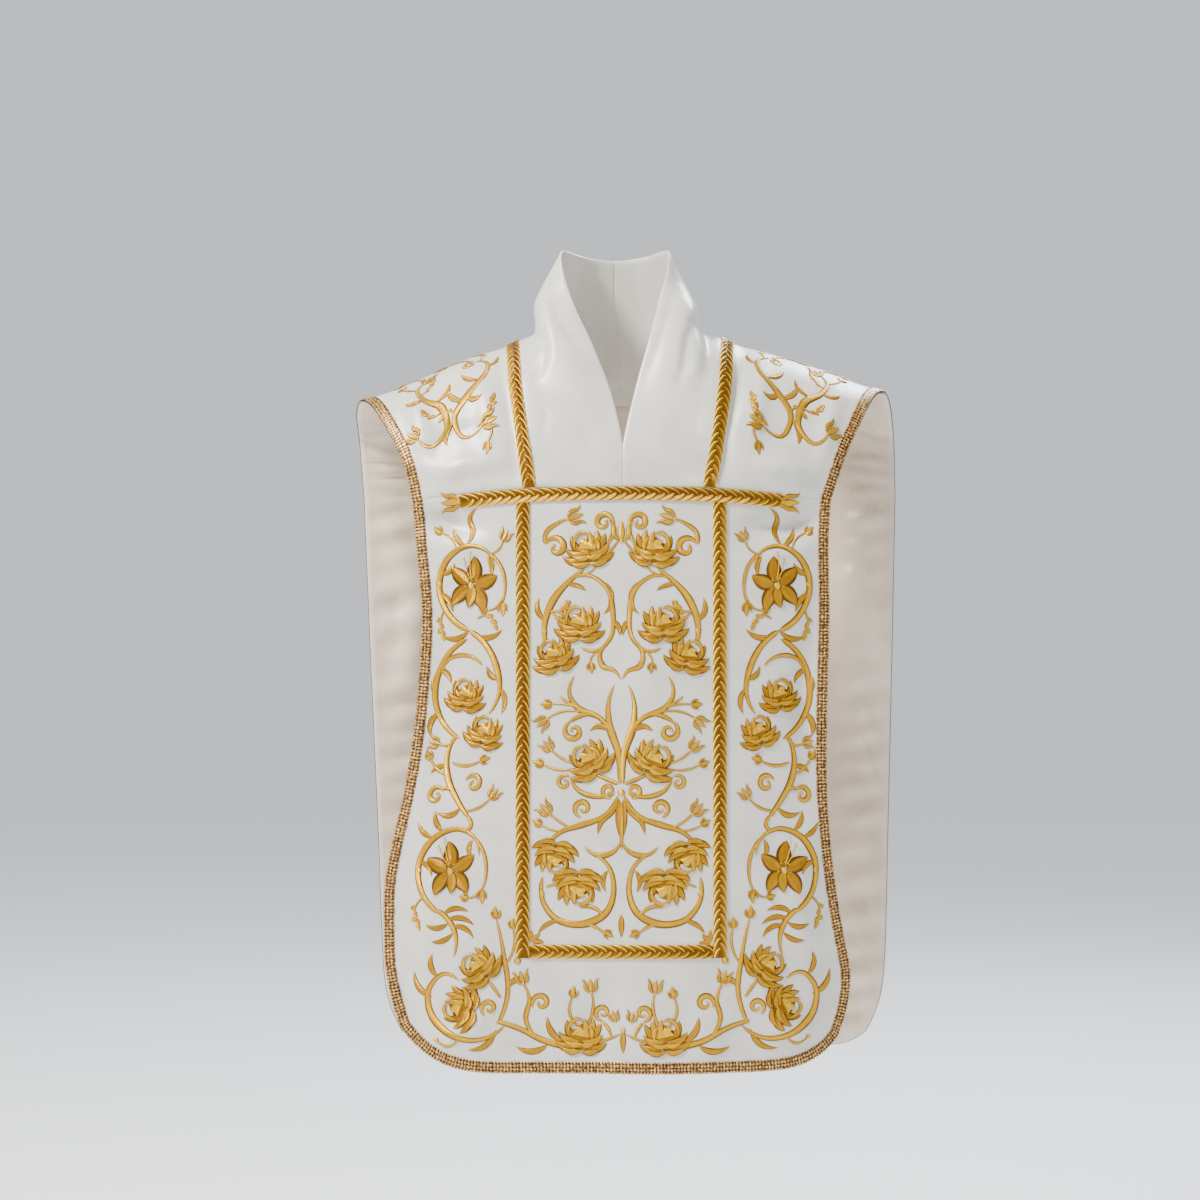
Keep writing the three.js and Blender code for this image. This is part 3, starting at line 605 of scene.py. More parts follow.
# %% Patterns that cloth and thread need
class ClothFinish(Finish):
    """A finish that can be ribbed, noisy, coloured by a ramp and bumped."""

    def cloth_place(self):
        node = self.node("ShaderNodeUVMap")
        node.uv_map = "cloth_map"
        return node.outputs["UV"]

    def mesh_tone(self):
        node = self.node("ShaderNodeAttribute")
        node.attribute_name = "tone"
        return node.outputs["Fac"]

    def threads(self, place, pitch, direction, wobble):
        """Even threads a pitch (in metres) apart, slightly uneven."""
        numbers = {
            "Scale": math.pi / 10 / pitch,
            "Distortion": wobble,
            "Detail": 1.5,
            "Detail Scale": 1.2,
        }
        node = self.node("ShaderNodeTexWave", numbers, {"Vector": place})
        node.bands_direction = direction
        return node.outputs["Color"]

    def noise(self, place, size, detail=3.0):
        node = self.node("ShaderNodeTexNoise", {"Scale": 1 / size, "Detail": detail}, {"Vector": place})
        return node.outputs["Fac"]

    def blend(self, first, second, share):
        node = self.node("ShaderNodeMix", {0: share}, {2: first, 3: second})
        return node.outputs[0]

    def color_ramp(self, source, stops):
        """Turns a value into the shader's colour through places and colours."""
        node = self.node("ShaderNodeValToRGB", None, {"Fac": source})
        elements = node.color_ramp.elements
        while len(elements) < len(stops):
            elements.new(0.5)
        for element, (place, color) in zip(elements, stops):
            element.position = place
            element.color = (*color, 1)
        self.feed(node.outputs["Color"], "Base Color")

    def bump(self, height, distance, strength):
        numbers = {"Distance": distance, "Strength": strength}
        node = self.node("ShaderNodeBump", numbers, {"Height": height})
        self.feed(node.outputs["Normal"], "Normal")


# %% Ivory satin, champagne lining
def woven_satin(name, dark, light, roughness, rib_pitch, rib_depth):
    """A cross rib over finer warp threads; slow noise makes colour and gloss a little uneven."""
    finish = ClothFinish(name, roughness, sheen=0.04, specular=0.62)
    place = finish.cloth_place()
    rib = finish.threads(place, rib_pitch, "Y", 1.2)
    warp = finish.threads(place, rib_pitch * 0.8, "X", 1.6)
    weave = finish.blend(rib, warp, 0.3)
    tension = finish.noise(place, 0.05)
    finish.color_ramp(finish.blend(weave, tension, 0.72), [(0.25, dark), (0.7, light)])
    gloss_range = {"To Min": roughness - 0.06, "To Max": roughness + 0.08}
    gloss = finish.node("ShaderNodeMapRange", gloss_range, {"Value": tension})
    finish.feed(gloss.outputs["Result"], "Roughness")
    finish.bump(weave, rib_depth, 0.55)
    return finish.material


ivory_satin = woven_satin(
    "ivory_satin",
    dark=(0.55, 0.522, 0.455),
    light=(0.7, 0.675, 0.615),
    roughness=0.31,
    rib_pitch=0.0015,
    rib_depth=0.00014,
)
champagne = woven_satin(
    "champagne_lining",
    dark=(0.6, 0.495, 0.385),
    light=(0.74, 0.63, 0.51),
    roughness=0.27,
    rib_pitch=0.001,
    rib_depth=0.00008,
)

# %% Gold thread and old gold galloon
THREAD_PITCH = 0.0009
THREAD_RELIEF = 0.00022


def gold_thread(name, deep, middle, bright):
    """Laid threads that glint along their length; the mesh's tone, partly painted light and shade, runs
    from deep to bright.
    """
    finish = ClothFinish(name, 0.33, metallic=0.62, anisotropic=0.6, specular=0.3)
    place = finish.cloth_place()
    thread = finish.threads(place, THREAD_PITCH, "X", 0.6)
    tone = finish.mesh_tone()
    uneven = finish.blend(tone, finish.noise(place, 0.009), 0.22)
    shade = finish.blend(uneven, thread, 0.13)
    finish.color_ramp(shade, [(0.2, deep), (0.5, middle), (0.8, bright)])
    finish.bump(thread, THREAD_RELIEF, 0.6)
    tangent = finish.node("ShaderNodeTangent")
    tangent.direction_type = "UV_MAP"
    tangent.uv_map = "cloth_map"
    finish.feed(tangent.outputs["Tangent"], "Tangent")
    return finish.material


def woven_galloon(name, gap, body, top):
    """Each raised loop gets a painted highlight and each gap painted shade, which the tone of the mesh
    tells.
    """
    finish = ClothFinish(name, 0.42, metallic=0.45, specular=0.4)
    place = finish.cloth_place()
    tone = finish.mesh_tone()
    glint = finish.noise(place, 0.0022, 2.0)
    finish.color_ramp(finish.blend(tone, glint, 0.36), [(0.3, gap), (0.5, body), (0.68, top)])
    finish.bump(glint, 0.0005, 0.7)
    return finish.material


# deep is a painted shade colour and bright a painted highlight colour; middle is the gold's own colour
gold_embroidery = gold_thread(
    "gold_embroidery_thread", deep=(0.085, 0.026, 0.0), middle=(0.42, 0.19, 0.0), bright=(0.82, 0.5, 0.02)
)
gold_plait = gold_thread(
    "gold_plait_thread", deep=(0.1, 0.034, 0.0), middle=(0.47, 0.225, 0.002), bright=(0.92, 0.64, 0.09)
)
# gap is a painted shade colour, top a painted highlight colour and body the galloon's own colour
old_gold = woven_galloon(
    "old_gold_galloon", gap=(0.03, 0.011, 0.002), body=(0.25, 0.115, 0.022), top=(0.86, 0.55, 0.2)
)


# %% Sewing thread
def sewing_thread(name, color):
    finish = ClothFinish(name, 0.5, sheen=0.2)
    place = finish.node("ShaderNodeTexCoord").outputs["Object"]
    ply = finish.noise(place, 0.0007, 1.0)
    darker = tuple(0.72 * v for v in color)
    finish.color_ramp(ply, [(0.35, darker), (0.65, color)])
    finish.bump(ply, 0.0001, 0.5)
    return finish.material


ivory_thread = sewing_thread("ivory_sewing_thread", (0.84, 0.82, 0.77))
print("finishes:", [material.name for material in bpy.data.materials])

# %% [markdown]
# ## The front panel
# The front hangs as one stiff, gently curved sheet with round lower corners. Its grid follows the cut:
# the rows run from the hem up to the chest seam, the columns from side to side, so the edges come out
# smooth. Along its edges the satin draws in a little between the stitches of the galloon, which a small
# ripple shows.

# %% Front cloth
SATIN = 1.6  # wall thickness
GALLOON_WIDTH = 12
FRONT_CORNER_LEFT = -838
FRONT_CORNER_RIGHT = -852
RIPPLE_DEPTH = 0.28
RIPPLE_WIDTH = 9
TOP_DOWN = 0.0006  # rows start just under the chest seam


def edge_places(down):
    """Left and right edge of the front at a share of its height, 0 at the seam and 1 at the hem."""
    left = -front_edge(-1.0, CHEST_SEAM + (FRONT_CORNER_LEFT - CHEST_SEAM) * down)
    right = front_edge(1.0, CHEST_SEAM + (FRONT_CORNER_RIGHT - CHEST_SEAM) * down)
    return left, right


def ripple(x, wrap, edge_gap, seed):
    """Small puckers beside a sewn edge, uneven along its length."""
    along = wrap * WRAP_MM + x * 0.7
    waves = np.sin(along / 2.9 + seed) + 0.7 * np.sin(along / 4.7 + 2 * seed) * np.cos(along / 31 + seed)
    near = np.exp(-(((edge_gap - GALLOON_WIDTH - 2) / RIPPLE_WIDTH) ** 2))
    return RIPPLE_DEPTH * waves * near


front_down = np.concatenate([np.linspace(TOP_DOWN, 0.9, 118), np.linspace(0.907, 1, 24)])[::-1]
front_left, front_right = edge_places(front_down)
front_share = np.linspace(0, 1, 104)
front_x = front_left[:, None] + (front_right - front_left)[:, None] * front_share
front_level = chest_seam(front_x) + (front_hem(front_x) - chest_seam(front_x)) * front_down[:, None]
front_wrap = wrap_on_front(front_x, front_level)
front_gap = np.minimum(front_x - front_left[:, None], front_right[:, None] - front_x)
front_gap = np.minimum(front_gap, front_level - front_hem(front_x))
front_lift = ripple(front_x, front_wrap, front_gap, 0.4)
front_cloth = panel("front_cloth", front_x, front_wrap, front_lift, SATIN, [ivory_satin, champagne])
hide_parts("front_panel")

# %% [markdown]
# ## The back with both shoulders, and its lining
# On the real garment the back and both shoulders are one piece of satin, with the neck piece let in
# between the shoulders. One grid covers it all, and the squares where the neck piece goes are left out.
# The champagne lining lies inside it on the same grid. It is cut from a limper cloth, so beside the arm
# openings it draws up in small level puckers, which are added to the lining alone.

# %% The grid of the back
NECK_SEAM_WRAP = 0.62
LINING = 1.0  # wall thickness
SEAM_GAP = 0.3
PANEL_FALL = 720
print("the neck piece meets the back", NECK_SEAM_WRAP, "of the way down its arch")


def back_grid(side_count, middle_count, wrap_step, fall_step):
    """x and wrap for the back and shoulders, and which squares belong to the cloth."""
    before = np.linspace(-1, NECK_SEAM_WRAP, int((1 + NECK_SEAM_WRAP) / wrap_step) + 1)
    after = np.linspace(NECK_SEAM_WRAP, 1, int((1 - NECK_SEAM_WRAP) / wrap_step) + 2)[1:]
    down = np.linspace(0, 1, int(PANEL_FALL / fall_step) + 1)[1:]
    wraps = np.concatenate([before, after])
    level = YOKE_BACK + (BACK_CORNER - YOKE_BACK) * down
    left = np.concatenate([-shoulder_edge(-1.0, wraps), -back_edge(-1.0, level)])
    right = np.concatenate([shoulder_edge(1.0, wraps), back_edge(1.0, level)])
    line_wrap = np.concatenate([wraps, 1 + down])
    line_left = -braid_line(-1.0, line_wrap)
    line_right = braid_line(1.0, line_wrap)
    share_side = np.linspace(0, 1, side_count + 1)
    share_middle = np.linspace(0, 1, middle_count + 1)[1:-1]
    x = np.concatenate(
        [
            left[:, None] + (line_left - left)[:, None] * share_side,
            line_left[:, None] + (line_right - line_left)[:, None] * share_middle,
            line_right[:, None] + (right - line_right)[:, None] * share_side,
        ],
        axis=1,
    )
    wrap = np.repeat(wraps[:, None], x.shape[1], axis=1)
    fallen = YOKE_BACK + (back_hem(x[len(wraps) :]) - YOKE_BACK) * down[:, None]
    wrap = np.concatenate([wrap, wrap_on_back(fallen)])
    cells = np.ones((x.shape[0] - 1, x.shape[1] - 1), bool)
    cells[: len(before) - 1, side_count : side_count + middle_count] = False
    gap = np.minimum(x - left[:, None], right[:, None] - x)
    gap[len(wraps) :] = np.minimum(gap[len(wraps) :], fallen - back_hem(x[len(wraps) :]))
    return x, wrap, cells, gap


# %% Back cloth
back_x, back_wrap, back_cells, back_gap = back_grid(38, 36, 0.023, 7.5)
back_lift = ripple(back_x, back_wrap, back_gap, 1.9)
back_cloth = panel("back_cloth", back_x, back_wrap, back_lift, SATIN, [ivory_satin], back_cells)
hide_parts("back_panel")


# %% Lining
PUCKER_DEPTH = 2.1
PUCKER_IN = 34  # how far in from the edge they are deepest
PUCKER_WIDTH = 27


def lining_puckers(x, wrap, gap):
    """Level puckers beside the arm openings, deepest some way in from the edge."""
    level = wrap * WRAP_MM
    waves = np.sin(level / 6.1 + 1.3 * np.sin(level / 53) + x / 40)
    waves += 0.6 * np.sin(level / 10.3 + x / 23 + 0.8)
    near = np.exp(-(((gap - PUCKER_IN) / PUCKER_WIDTH) ** 2))
    return -PUCKER_DEPTH * (waves + 1.6) * near


lining_x, lining_wrap, lining_cells, lining_gap = back_grid(34, 18, 0.03, 5.5)
lining_lift = -SATIN - SEAM_GAP + lining_puckers(lining_x, lining_wrap, lining_gap)
lining_cloth = panel(
    "back_lining_cloth", lining_x, lining_wrap, lining_lift, LINING, [champagne], lining_cells
)
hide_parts("back_lining")

# %% [markdown]
# ## The neck piece
# The neck piece is two halves of doubled satin. Each starts at the chest seam, lies flat beside its
# braid, then turns up over the root of the neck into a tall soft collar that stands open in a V. It is
# drawn as ribs, from the braid line over root and bulge to the edge, with smooth curves through them
# both ways. Its soft dents are listed one by one, because the weight of the collar sags differently on
# the two sides.

# %% Ribs of the neck piece
# wrap, share of the way out to the braid, inward and upward laps, and three points
# a rib with None instead of points lies flat on the cloth
NECK_RIBS = [
    (-0.999, 1, 10, 0, None, None, None),
    (-0.853, 1, 10, 0, None, None, None),
    (-0.715, 1, 10, 0, (88, -124, -97), (50, -121, -84), (15, -109, -72)),
    (-0.573, 1, 10, 0, (98, -104, -58), (66, -101, -32), (35, -84, -10)),
    (-0.43, 1, 10, 0, (104, -80, -28), (80, -80, 4), (46, -66, 20)),
    (-0.287, 1, 10, 0, (105, -52, -6), (92, -52, 34), (56, -47, 50)),
    (-0.13, 1, 10, 0, (104, -24, 6), (99, -24, 44), (65, -28, 80)),
    (0.08, 1, 10, 0, (103, 4, 9), (100, 2, 46), (68, -6, 108)),
    (0.3, 1, 10, 0, (100, 34, 4), (95, 30, 46), (61, 22, 113)),
    (0.6185, 1, 7, 7, (86, 68, -10), (80, 60, 40), (44, 48, 110)),
    (0.6185, 0.5, 0, 10, (50, 88, -22), (46, 78, 36), (22, 60, 107)),
    (0.6185, 0, 0, 10, (0, 95, -26), (0, 84, 34), (0, 64, 105)),
]
print(len(NECK_RIBS), "ribs in each half")

# %% Three curves along the ribs
FLAT_SHARES = (0.7, 0.35, 0)
COLLAR_LEAN = 9


def reach_along(points):
    """How far each point of a line lies from its start, along the line."""
    return np.concatenate([[0], np.cumsum(np.linalg.norm(np.diff(points, axis=0), axis=1))])


def collar_lean(z):
    """The collar leans to the wearer's right as it rises."""
    return -COLLAR_LEAN * ease(z, -60, 60)


def rib_curves(sign):
    """Curves through the first, second and third points of all ribs, each as x, y and z."""
    order = np.arange(len(NECK_RIBS))
    columns = []
    for k in range(3):
        points = []
        for rib in NECK_RIBS:
            if rib[4] is None:
                line = float(braid_line(float(sign), rib[0]))
                points.append(cloth(sign * FLAT_SHARES[k] * line, rib[0]))
            else:
                x, y, z = rib[4 + k]
                points.append(np.array([sign * x + collar_lean(z), y, z]))
        columns.append([curve_through(order, np.array(points)[:, axis]) for axis in range(3)])
    return columns


print("the collar's edge beside the neck:", [round(float(curve(7)), 1) for curve in rib_curves(1)[2]])


# %% One half, drawn through its ribs
NECK_BACK_MM = 260  # millimetres of cloth for one unit of wrap, at the back of the neck
HALF_SEAM = 0.15


def neck_half_points(sign, stations, knots):
    """Points of one half: stations run along the ribs, knots (0 to 4) up each rib."""
    order = np.arange(len(NECK_RIBS))
    wraps, shares, inward, upward = (np.array([rib[i] for rib in NECK_RIBS], float) for i in range(4))
    columns = rib_curves(sign)
    grid = np.zeros((len(stations), len(knots), 3))
    for row, station in enumerate(stations):
        wrap = np.interp(station, order, wraps)
        line = float(braid_line(float(sign), wrap)) - SEAM_GAP
        out = max(HALF_SEAM, line * np.interp(station, order, shares))
        lap = max(HALF_SEAM, out - np.interp(station, order, inward))
        lap_wrap = wrap - np.interp(station, order, upward) / NECK_BACK_MM
        points = [cloth(sign * out, wrap), cloth(sign * lap, lap_wrap)]
        for column in columns:
            point = np.array([curve(station) for curve in column], float)
            lean = collar_lean(point[2])
            point[0] = sign * max(HALF_SEAM, sign * (point[0] - lean)) + lean
            points.append(point)
        points = np.array(points)
        reach = reach_along(points)
        places = np.interp(knots, np.arange(len(points)), reach)
        for axis in range(3):
            grid[row, :, axis] = curve_through(reach, points[:, axis])(places)
    return grid


# %% Creases of the neck piece
# points (x, z) seen from the front, half width, how far out
NECK_CREASES = [
    ([(-104, 6), (-95, -14), (-98, -40), (-108, -60)], 5, -2.6),
    ([(-88, 2), (-84, -26), (-92, -56)], 7, 1.6),
    ([(81, 14), (79, -14), (75, -40), (66, -66)], 7, -4.2),
    ([(94, 2), (93, -28), (84, -62)], 8, 2.2),
    ([(-88, 56), (-78, 20), (-58, -12), (-40, -34)], 7, -2.2),
    ([(-70, 62), (-60, 26), (-44, -4)], 6, 1.4),
    ([(84, 26), (88, 10), (84, -6)], 6, -2.6),
    ([(66, 70), (54, 24), (40, -18), (26, -62)], 7, -1.8),
    ([(58, 60), (45, 12), (30, -36)], 5, 1.2),
    ([(-100, -86), (-92, -104), (-98, -134)], 6, -1.4),
    ([(96, -88), (88, -110), (92, -140)], 6, -1.3),
    ([(-60, -96), (-42, -132), (-30, -176)], 11, -1.2),
    ([(58, -100), (44, -134), (34, -178)], 11, 1.1),
    ([(2, -118), (-3, -150), (-4, -186)], 4, -0.9),
]
print(len(NECK_CREASES), "creases in the neck piece")

# %% The two halves
NECK_SATIN = 2.2  # two layers of satin with their stiffening
NECK_ROWS = 122
FLAT_KNOTS = 6
RISING_KNOTS = 44
NECK_MIDDLE = (60, 25)  # a grid place well inside, whose outer side faces away from the middle line


def grid_normals(points):
    normal = np.cross(np.gradient(points, axis=1), np.gradient(points, axis=0))
    return normal / np.maximum(np.linalg.norm(normal, axis=2, keepdims=True), 1e-9)


def neck_half(name, node, sign):
    """One half as a shell: sign is -1 on the left and 1 on the right."""
    stations = np.linspace(0, len(NECK_RIBS) - 1, NECK_ROWS)
    knots = np.concatenate([np.linspace(0, 1, FLAT_KNOTS)[:-1], np.linspace(1, 4, RISING_KNOTS)])
    points = neck_half_points(sign, stations, knots)
    if sign > 0:
        points = points[:, ::-1]
    normals = grid_normals(points)
    if normals[NECK_MIDDLE][0] * sign < 0:
        normals = -normals
    toward_front = ease(-points[..., 1], -20, 20)
    inside = np.sin(np.pi * np.linspace(0, 1, points.shape[0])) ** 0.3
    depth = crease_depth(NECK_CREASES, points[..., 0], points[..., 2]) * toward_front * inside[:, None]
    points = points + normals * depth[..., None]
    seam_face = np.abs(points[..., 0] - collar_lean(points[..., 2])) < 1
    normals = grid_normals(points) * np.sign((grid_normals(points) * normals).sum(2, keepdims=True))
    normals[seam_face, 0] = 0
    normals /= np.linalg.norm(normals, axis=2, keepdims=True)
    piece = shell(name, points, normals, NECK_SATIN, [ivory_satin], cloth_map(points))
    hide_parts(node)
    return piece


neck_left_cloth = neck_half("neck_left_cloth", "neck_left", -1)
neck_right_cloth = neck_half("neck_right_cloth", "neck_right", 1)

# %% [markdown]
# ## Laying strips along the cloth
# Braids and galloon are narrow strips that follow a line on the garment. If a strip were modelled flat
# and bent with a Curve modifier it would float over the folds. Instead the line's own directions are
# measured on the cloth: for each millimetre across the strip, how far must `x` and `wrap` move? With
# that, every point of a strip, given as along, across and height, lands exactly on the cloth, however
# it curves.


# %% A strip on the cloth
STRIP_NUDGE = 0.001


def laid_strip(x, wrap):
    """The length of a line on the cloth, and its places as a function of along and across."""
    points = cloth(x, wrap)
    reach = reach_along(points)
    tangent = np.gradient(points, reach, axis=0)
    tangent /= np.linalg.norm(tangent, axis=1, keepdims=True)
    across = np.cross(cloth_normal(x, wrap), tangent)
    by_x = cloth(x + NUDGE_MM, wrap) - cloth(x - NUDGE_MM, wrap)
    by_wrap = (cloth(x, wrap + STRIP_NUDGE) - cloth(x, wrap - STRIP_NUDGE)) / (2 * STRIP_NUDGE)
    xx, ww, xw = (by_x**2).sum(1), (by_wrap**2).sum(1), (by_x * by_wrap).sum(1)
    ax, aw = (across * by_x).sum(1), (across * by_wrap).sum(1)
    turn_x = (ax * ww - aw * xw) / (xx * ww - xw**2)
    turn_wrap = (aw * xx - ax * xw) / (xx * ww - xw**2)

    def place(along, out):
        return (
            np.interp(along, reach, x) + out * np.interp(along, reach, turn_x),
            np.interp(along, reach, wrap) + out * np.interp(along, reach, turn_wrap),
        )

    return reach[-1], place


level_length = laid_strip(np.linspace(-200.0, 200.0, 90), np.full(90, -1.2))[0]
print("a level strip from -200 to 200 mm takes", round(level_length, 1), "mm of braid")


# %% Points and faces of what lies on the cloth
def lift_from_cloth(x, wrap, height):
    """Points that stand some millimetres above the cloth."""
    return cloth(x, wrap) + cloth_normal(x, wrap) * height[..., None]


def grid_faces(patches, rows, columns):
    """Square faces for many equal grids of points, numbered one after another."""
    number = np.arange(patches * rows * columns).reshape(patches, rows, columns)
    low, high = number[:, :-1], number[:, 1:]
    squares = np.stack([low[..., :-1], low[..., 1:], high[..., 1:], high[..., :-1]], -1)
    return squares.reshape(-1, 4)


# %% [markdown]
# ## Plaited braids
# The braids are two rows of padded, slanting lobes that overlap like an ear of wheat, one row half a
# step behind the other. Each lobe is satin stitch over cord: its upper rim stands up and carries a
# painted highlight, and the body dives under into painted shade. A repeated flat texture would look
# printed, so every lobe is a small curved surface of its own, all drawn from one recipe.

# %% One lobe of a plait
BRAID_PITCH = 11.5
BRAID_HALF = 8
LOBE_ACROSS = np.array([-1, -0.6, -0.15, 0.25, 0.55, 0.82, 1.0])
LOBE_HEIGHT = np.array([0.25, 0.75, 1.35, 1.95, 2.4, 2.1, 0.3])
# painted light and shade: a pale rim along each lobe's upper edge and a darker, shaded body
LOBE_PAINTED_LIGHT = np.array([-0.3, -0.34, -0.3, -0.16, 0.3, 0.5, 0.42])
LOBE_ROWS = 9
LOBE_HALF = 3.1
LOBE_LINE = np.array([[0.95, -0.06], [0.55, 0.62], [-0.75, 0.95]])  # start, bend and end


def lobe_shape(pitch):
    """Along, across and height of one lobe, with the coordinates of its own thread."""
    t = np.linspace(0, 1, LOBE_ROWS)[:, None]
    start, bend, end = LOBE_LINE
    line = (1 - t) ** 2 * start + 2 * t * (1 - t) * bend + t**2 * end
    slope = 2 * (1 - t) * (bend - start) + 2 * t * (end - bend)
    line, slope = line * (pitch, BRAID_HALF), slope * (pitch, BRAID_HALF)
    side = np.stack([slope[:, 1], -slope[:, 0]], 1) / np.linalg.norm(slope, axis=1, keepdims=True)
    wide = LOBE_HALF * (0.3 + 0.7 * np.sin(np.pi * (0.08 + 0.84 * t)) ** 0.7) * LOBE_ACROSS
    along = line[:, 0:1] + side[:, 0:1] * wide
    across = line[:, 1:2] + side[:, 1:2] * wide
    height = (0.25 + 0.75 * np.sin(np.pi * (0.1 + 0.8 * t)) ** 0.5) * LOBE_HEIGHT
    reach = np.cumsum(np.linalg.norm(np.diff(line, axis=0, prepend=line[:1]), axis=1))
    return along, across, height, reach, wide


print("a lobe is", round(float(lobe_shape(BRAID_PITCH)[3][-1]), 1), "mm long")

# %% The flat bed under the lobes
BED_ACROSS = [-7.2, -4, 0, 4, 7.2]
BED_HEIGHT = [0.0, 0.7, 0.9, 0.7, 0.0]


def braid_bed(place, length, rows):
    """Points, faces and map of a low rounded band along the whole braid."""
    along, across = np.meshgrid(np.linspace(0, length, rows), BED_ACROSS, indexing="ij")
    height = np.broadcast_to(BED_HEIGHT, along.shape)
    points = lift_from_cloth(*place(along, across), height).reshape(-1, 3)
    return points, grid_faces(1, *along.shape), np.stack([along, across], -1).reshape(-1, 2)


print("the bed is", 2 * BED_ACROSS[-1], "mm wide and stands", max(BED_HEIGHT), "mm proud")


# %% A whole braid
LOBE_LIFT = 0.2
# painted shade: the bed is dark where it shows between the lobes
BED_PAINTED_SHADE = 0.12


def plait(name, node, x, wrap, row_painted_light):
    """A braid along a line; row_painted_light gives the painted light and shade of its two rows."""
    length, place = laid_strip(x, wrap)
    count = int(round(length / BRAID_PITCH))
    pitch = length / count
    lobe_along, lobe_across, lobe_height, reach, wide = lobe_shape(pitch)
    along, across, height, tone = [], [], [], []
    for k in range(count + 1):
        for row, hand in enumerate((1, -1)):
            uneven = 1 + 0.05 * math.sin(2.3 * k + row)
            along.append(lobe_along * uneven + (k + row / 2) * pitch)
            across.append(np.clip(lobe_across, -1.5, BRAID_HALF + 0.3) * hand)
            height.append(lobe_height * (1 + 0.06 * math.sin(1.7 * k + 2 * row)))
            drift = 0.05 * math.sin(k / 5 + row) + 0.03 * math.sin(3.1 * k)
            tone.append(np.broadcast_to(row_painted_light[row] + drift + LOBE_PAINTED_LIGHT[None, :], lobe_height.shape))
    along, across, height = (np.clip(np.array(along), 0, length), np.array(across), np.array(height))
    lobe_points = lift_from_cloth(*place(along, across), height + LOBE_LIFT)
    squares = grid_faces(len(along), LOBE_ROWS, len(LOBE_ACROSS)).reshape(count + 1, 2, -1, 4)
    squares[:, 0] = squares[:, 0, :, ::-1]
    map_u = reach[None, :, None] + 0.35 * across
    map_v = np.broadcast_to(wide, along.shape)
    bed_points, bed_faces, bed_maps = braid_bed(place, length, 2 * count)
    vertices = np.concatenate([lobe_points.reshape(-1, 3), bed_points])
    maps = np.concatenate([np.stack([map_u, map_v], -1).reshape(-1, 2), bed_maps])
    tones = np.concatenate([np.array(tone).ravel(), np.full(len(bed_points), BED_PAINTED_SHADE)])
    all_faces = np.concatenate([squares.reshape(-1, 4), bed_faces + along.size])
    piece = link_mesh(name, vertices, all_faces.tolist(), [gold_plait], None, maps, tones)
    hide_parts(node)
    print(f"{name}: {length:.0f} mm long, {2 * count} lobes, {2 * len(all_faces)} triangles")
    return piece


# %% All seven braids
CROSSBAR_DROP = 8.2
CROSSBAR_ENDS = (-196.0, 192.0)
BAR_HEIGHT = -745
BACK_BAR_HEIGHT = -765
BRAID_CLEAR = 8.5
LINE_POINTS = 200


def between(start, end):
    return start + (end - start) * np.linspace(0, 1, LINE_POINTS)


crossbar_x = between(*CROSSBAR_ENDS)
crossbar_wrap = wrap_on_front(crossbar_x, chest_seam(crossbar_x) - CROSSBAR_DROP)
# the last pair of each plait here and below is the painted light and shade of its two rows
braids = [plait("crossbar_plait", "crossbar_braid", crossbar_x, crossbar_wrap, (0.36, 0.5))]
for word, hand, tones in (("left", -1, (0.5, 0.3)), ("right", 1, (0.52, 0.42))):
    column_x = np.full(LINE_POINTS, COLUMN_CENTRE + hand * COLUMN_HALF, float)
    column_top = chest_seam(column_x[0]) - CROSSBAR_DROP - BRAID_CLEAR
    column_wrap = wrap_on_front(column_x, between(BAR_HEIGHT - BRAID_HALF, column_top))
    braids.append(plait(f"column_plait_{word}", f"column_braid_{word}", column_x, column_wrap, tones))
    back_end = 1 + (YOKE_BACK - BACK_BAR_HEIGHT + BRAID_HALF) / WRAP_MM
    shoulder_wrap = between(-0.995, back_end)
    shoulder_x = hand * braid_line(float(hand), shoulder_wrap)
    shoulder_names = (f"shoulder_plait_{word}", f"shoulder_braid_{word}")
    braids.append(plait(*shoulder_names, shoulder_x, shoulder_wrap, tones))

bar_x = between(COLUMN_CENTRE - COLUMN_HALF + BRAID_CLEAR, COLUMN_CENTRE + COLUMN_HALF - BRAID_CLEAR)
bar_wrap = wrap_on_front(bar_x, np.full(LINE_POINTS, float(BAR_HEIGHT)))
braids.append(plait("front_bar_plait", "front_bar_braid", bar_x, bar_wrap, (0.4, 0.5)))
back_bar_x = between(BRAID_CLEAR - braid_line(-1.0, 1.3), braid_line(1.0, 1.3) - BRAID_CLEAR)
back_bar_wrap = np.full(LINE_POINTS, wrap_on_back(BACK_BAR_HEIGHT))
braids.append(plait("back_bar_plait", "back_bar_braid", back_bar_x, back_bar_wrap, (0.4, 0.5)))

# %% [markdown]
# ## The woven galloon
# A narrow galloon of dull gold thread is sewn along every cut edge, in one run round the whole garment.
# It is about 12 mm wide, with a small lozenge relief and tiny loops, called picots, along both borders.
# The relief is real geometry, laid strip by strip, and a tone goes with it that paints raised loops
# lighter and gaps in painted shade. The finish adds only painted glints.

# %% Places down both sides of front and back
SIDE_POINTS = 180
down_up = np.linspace(1, TOP_DOWN, SIDE_POINTS)
edge_left, edge_right = edge_places(down_up)
fall_down = np.linspace(TOP_DOWN, 1, SIDE_POINTS)
fall_level = YOKE_BACK + (BACK_CORNER - YOKE_BACK) * fall_down
back_left_x = -back_edge(-1.0, fall_level)
back_right_x = back_edge(1.0, fall_level)


def front_edge_wrap(x, down):
    return wrap_on_front(x, chest_seam(x) + (front_hem(x) - chest_seam(x)) * down)


def back_edge_wrap(x, down):
    return wrap_on_back(YOKE_BACK + (back_hem(x) - YOKE_BACK) * down)


print("the back is", round(back_right_x[0] - back_left_x[0]), "mm wide at the top of its sides")

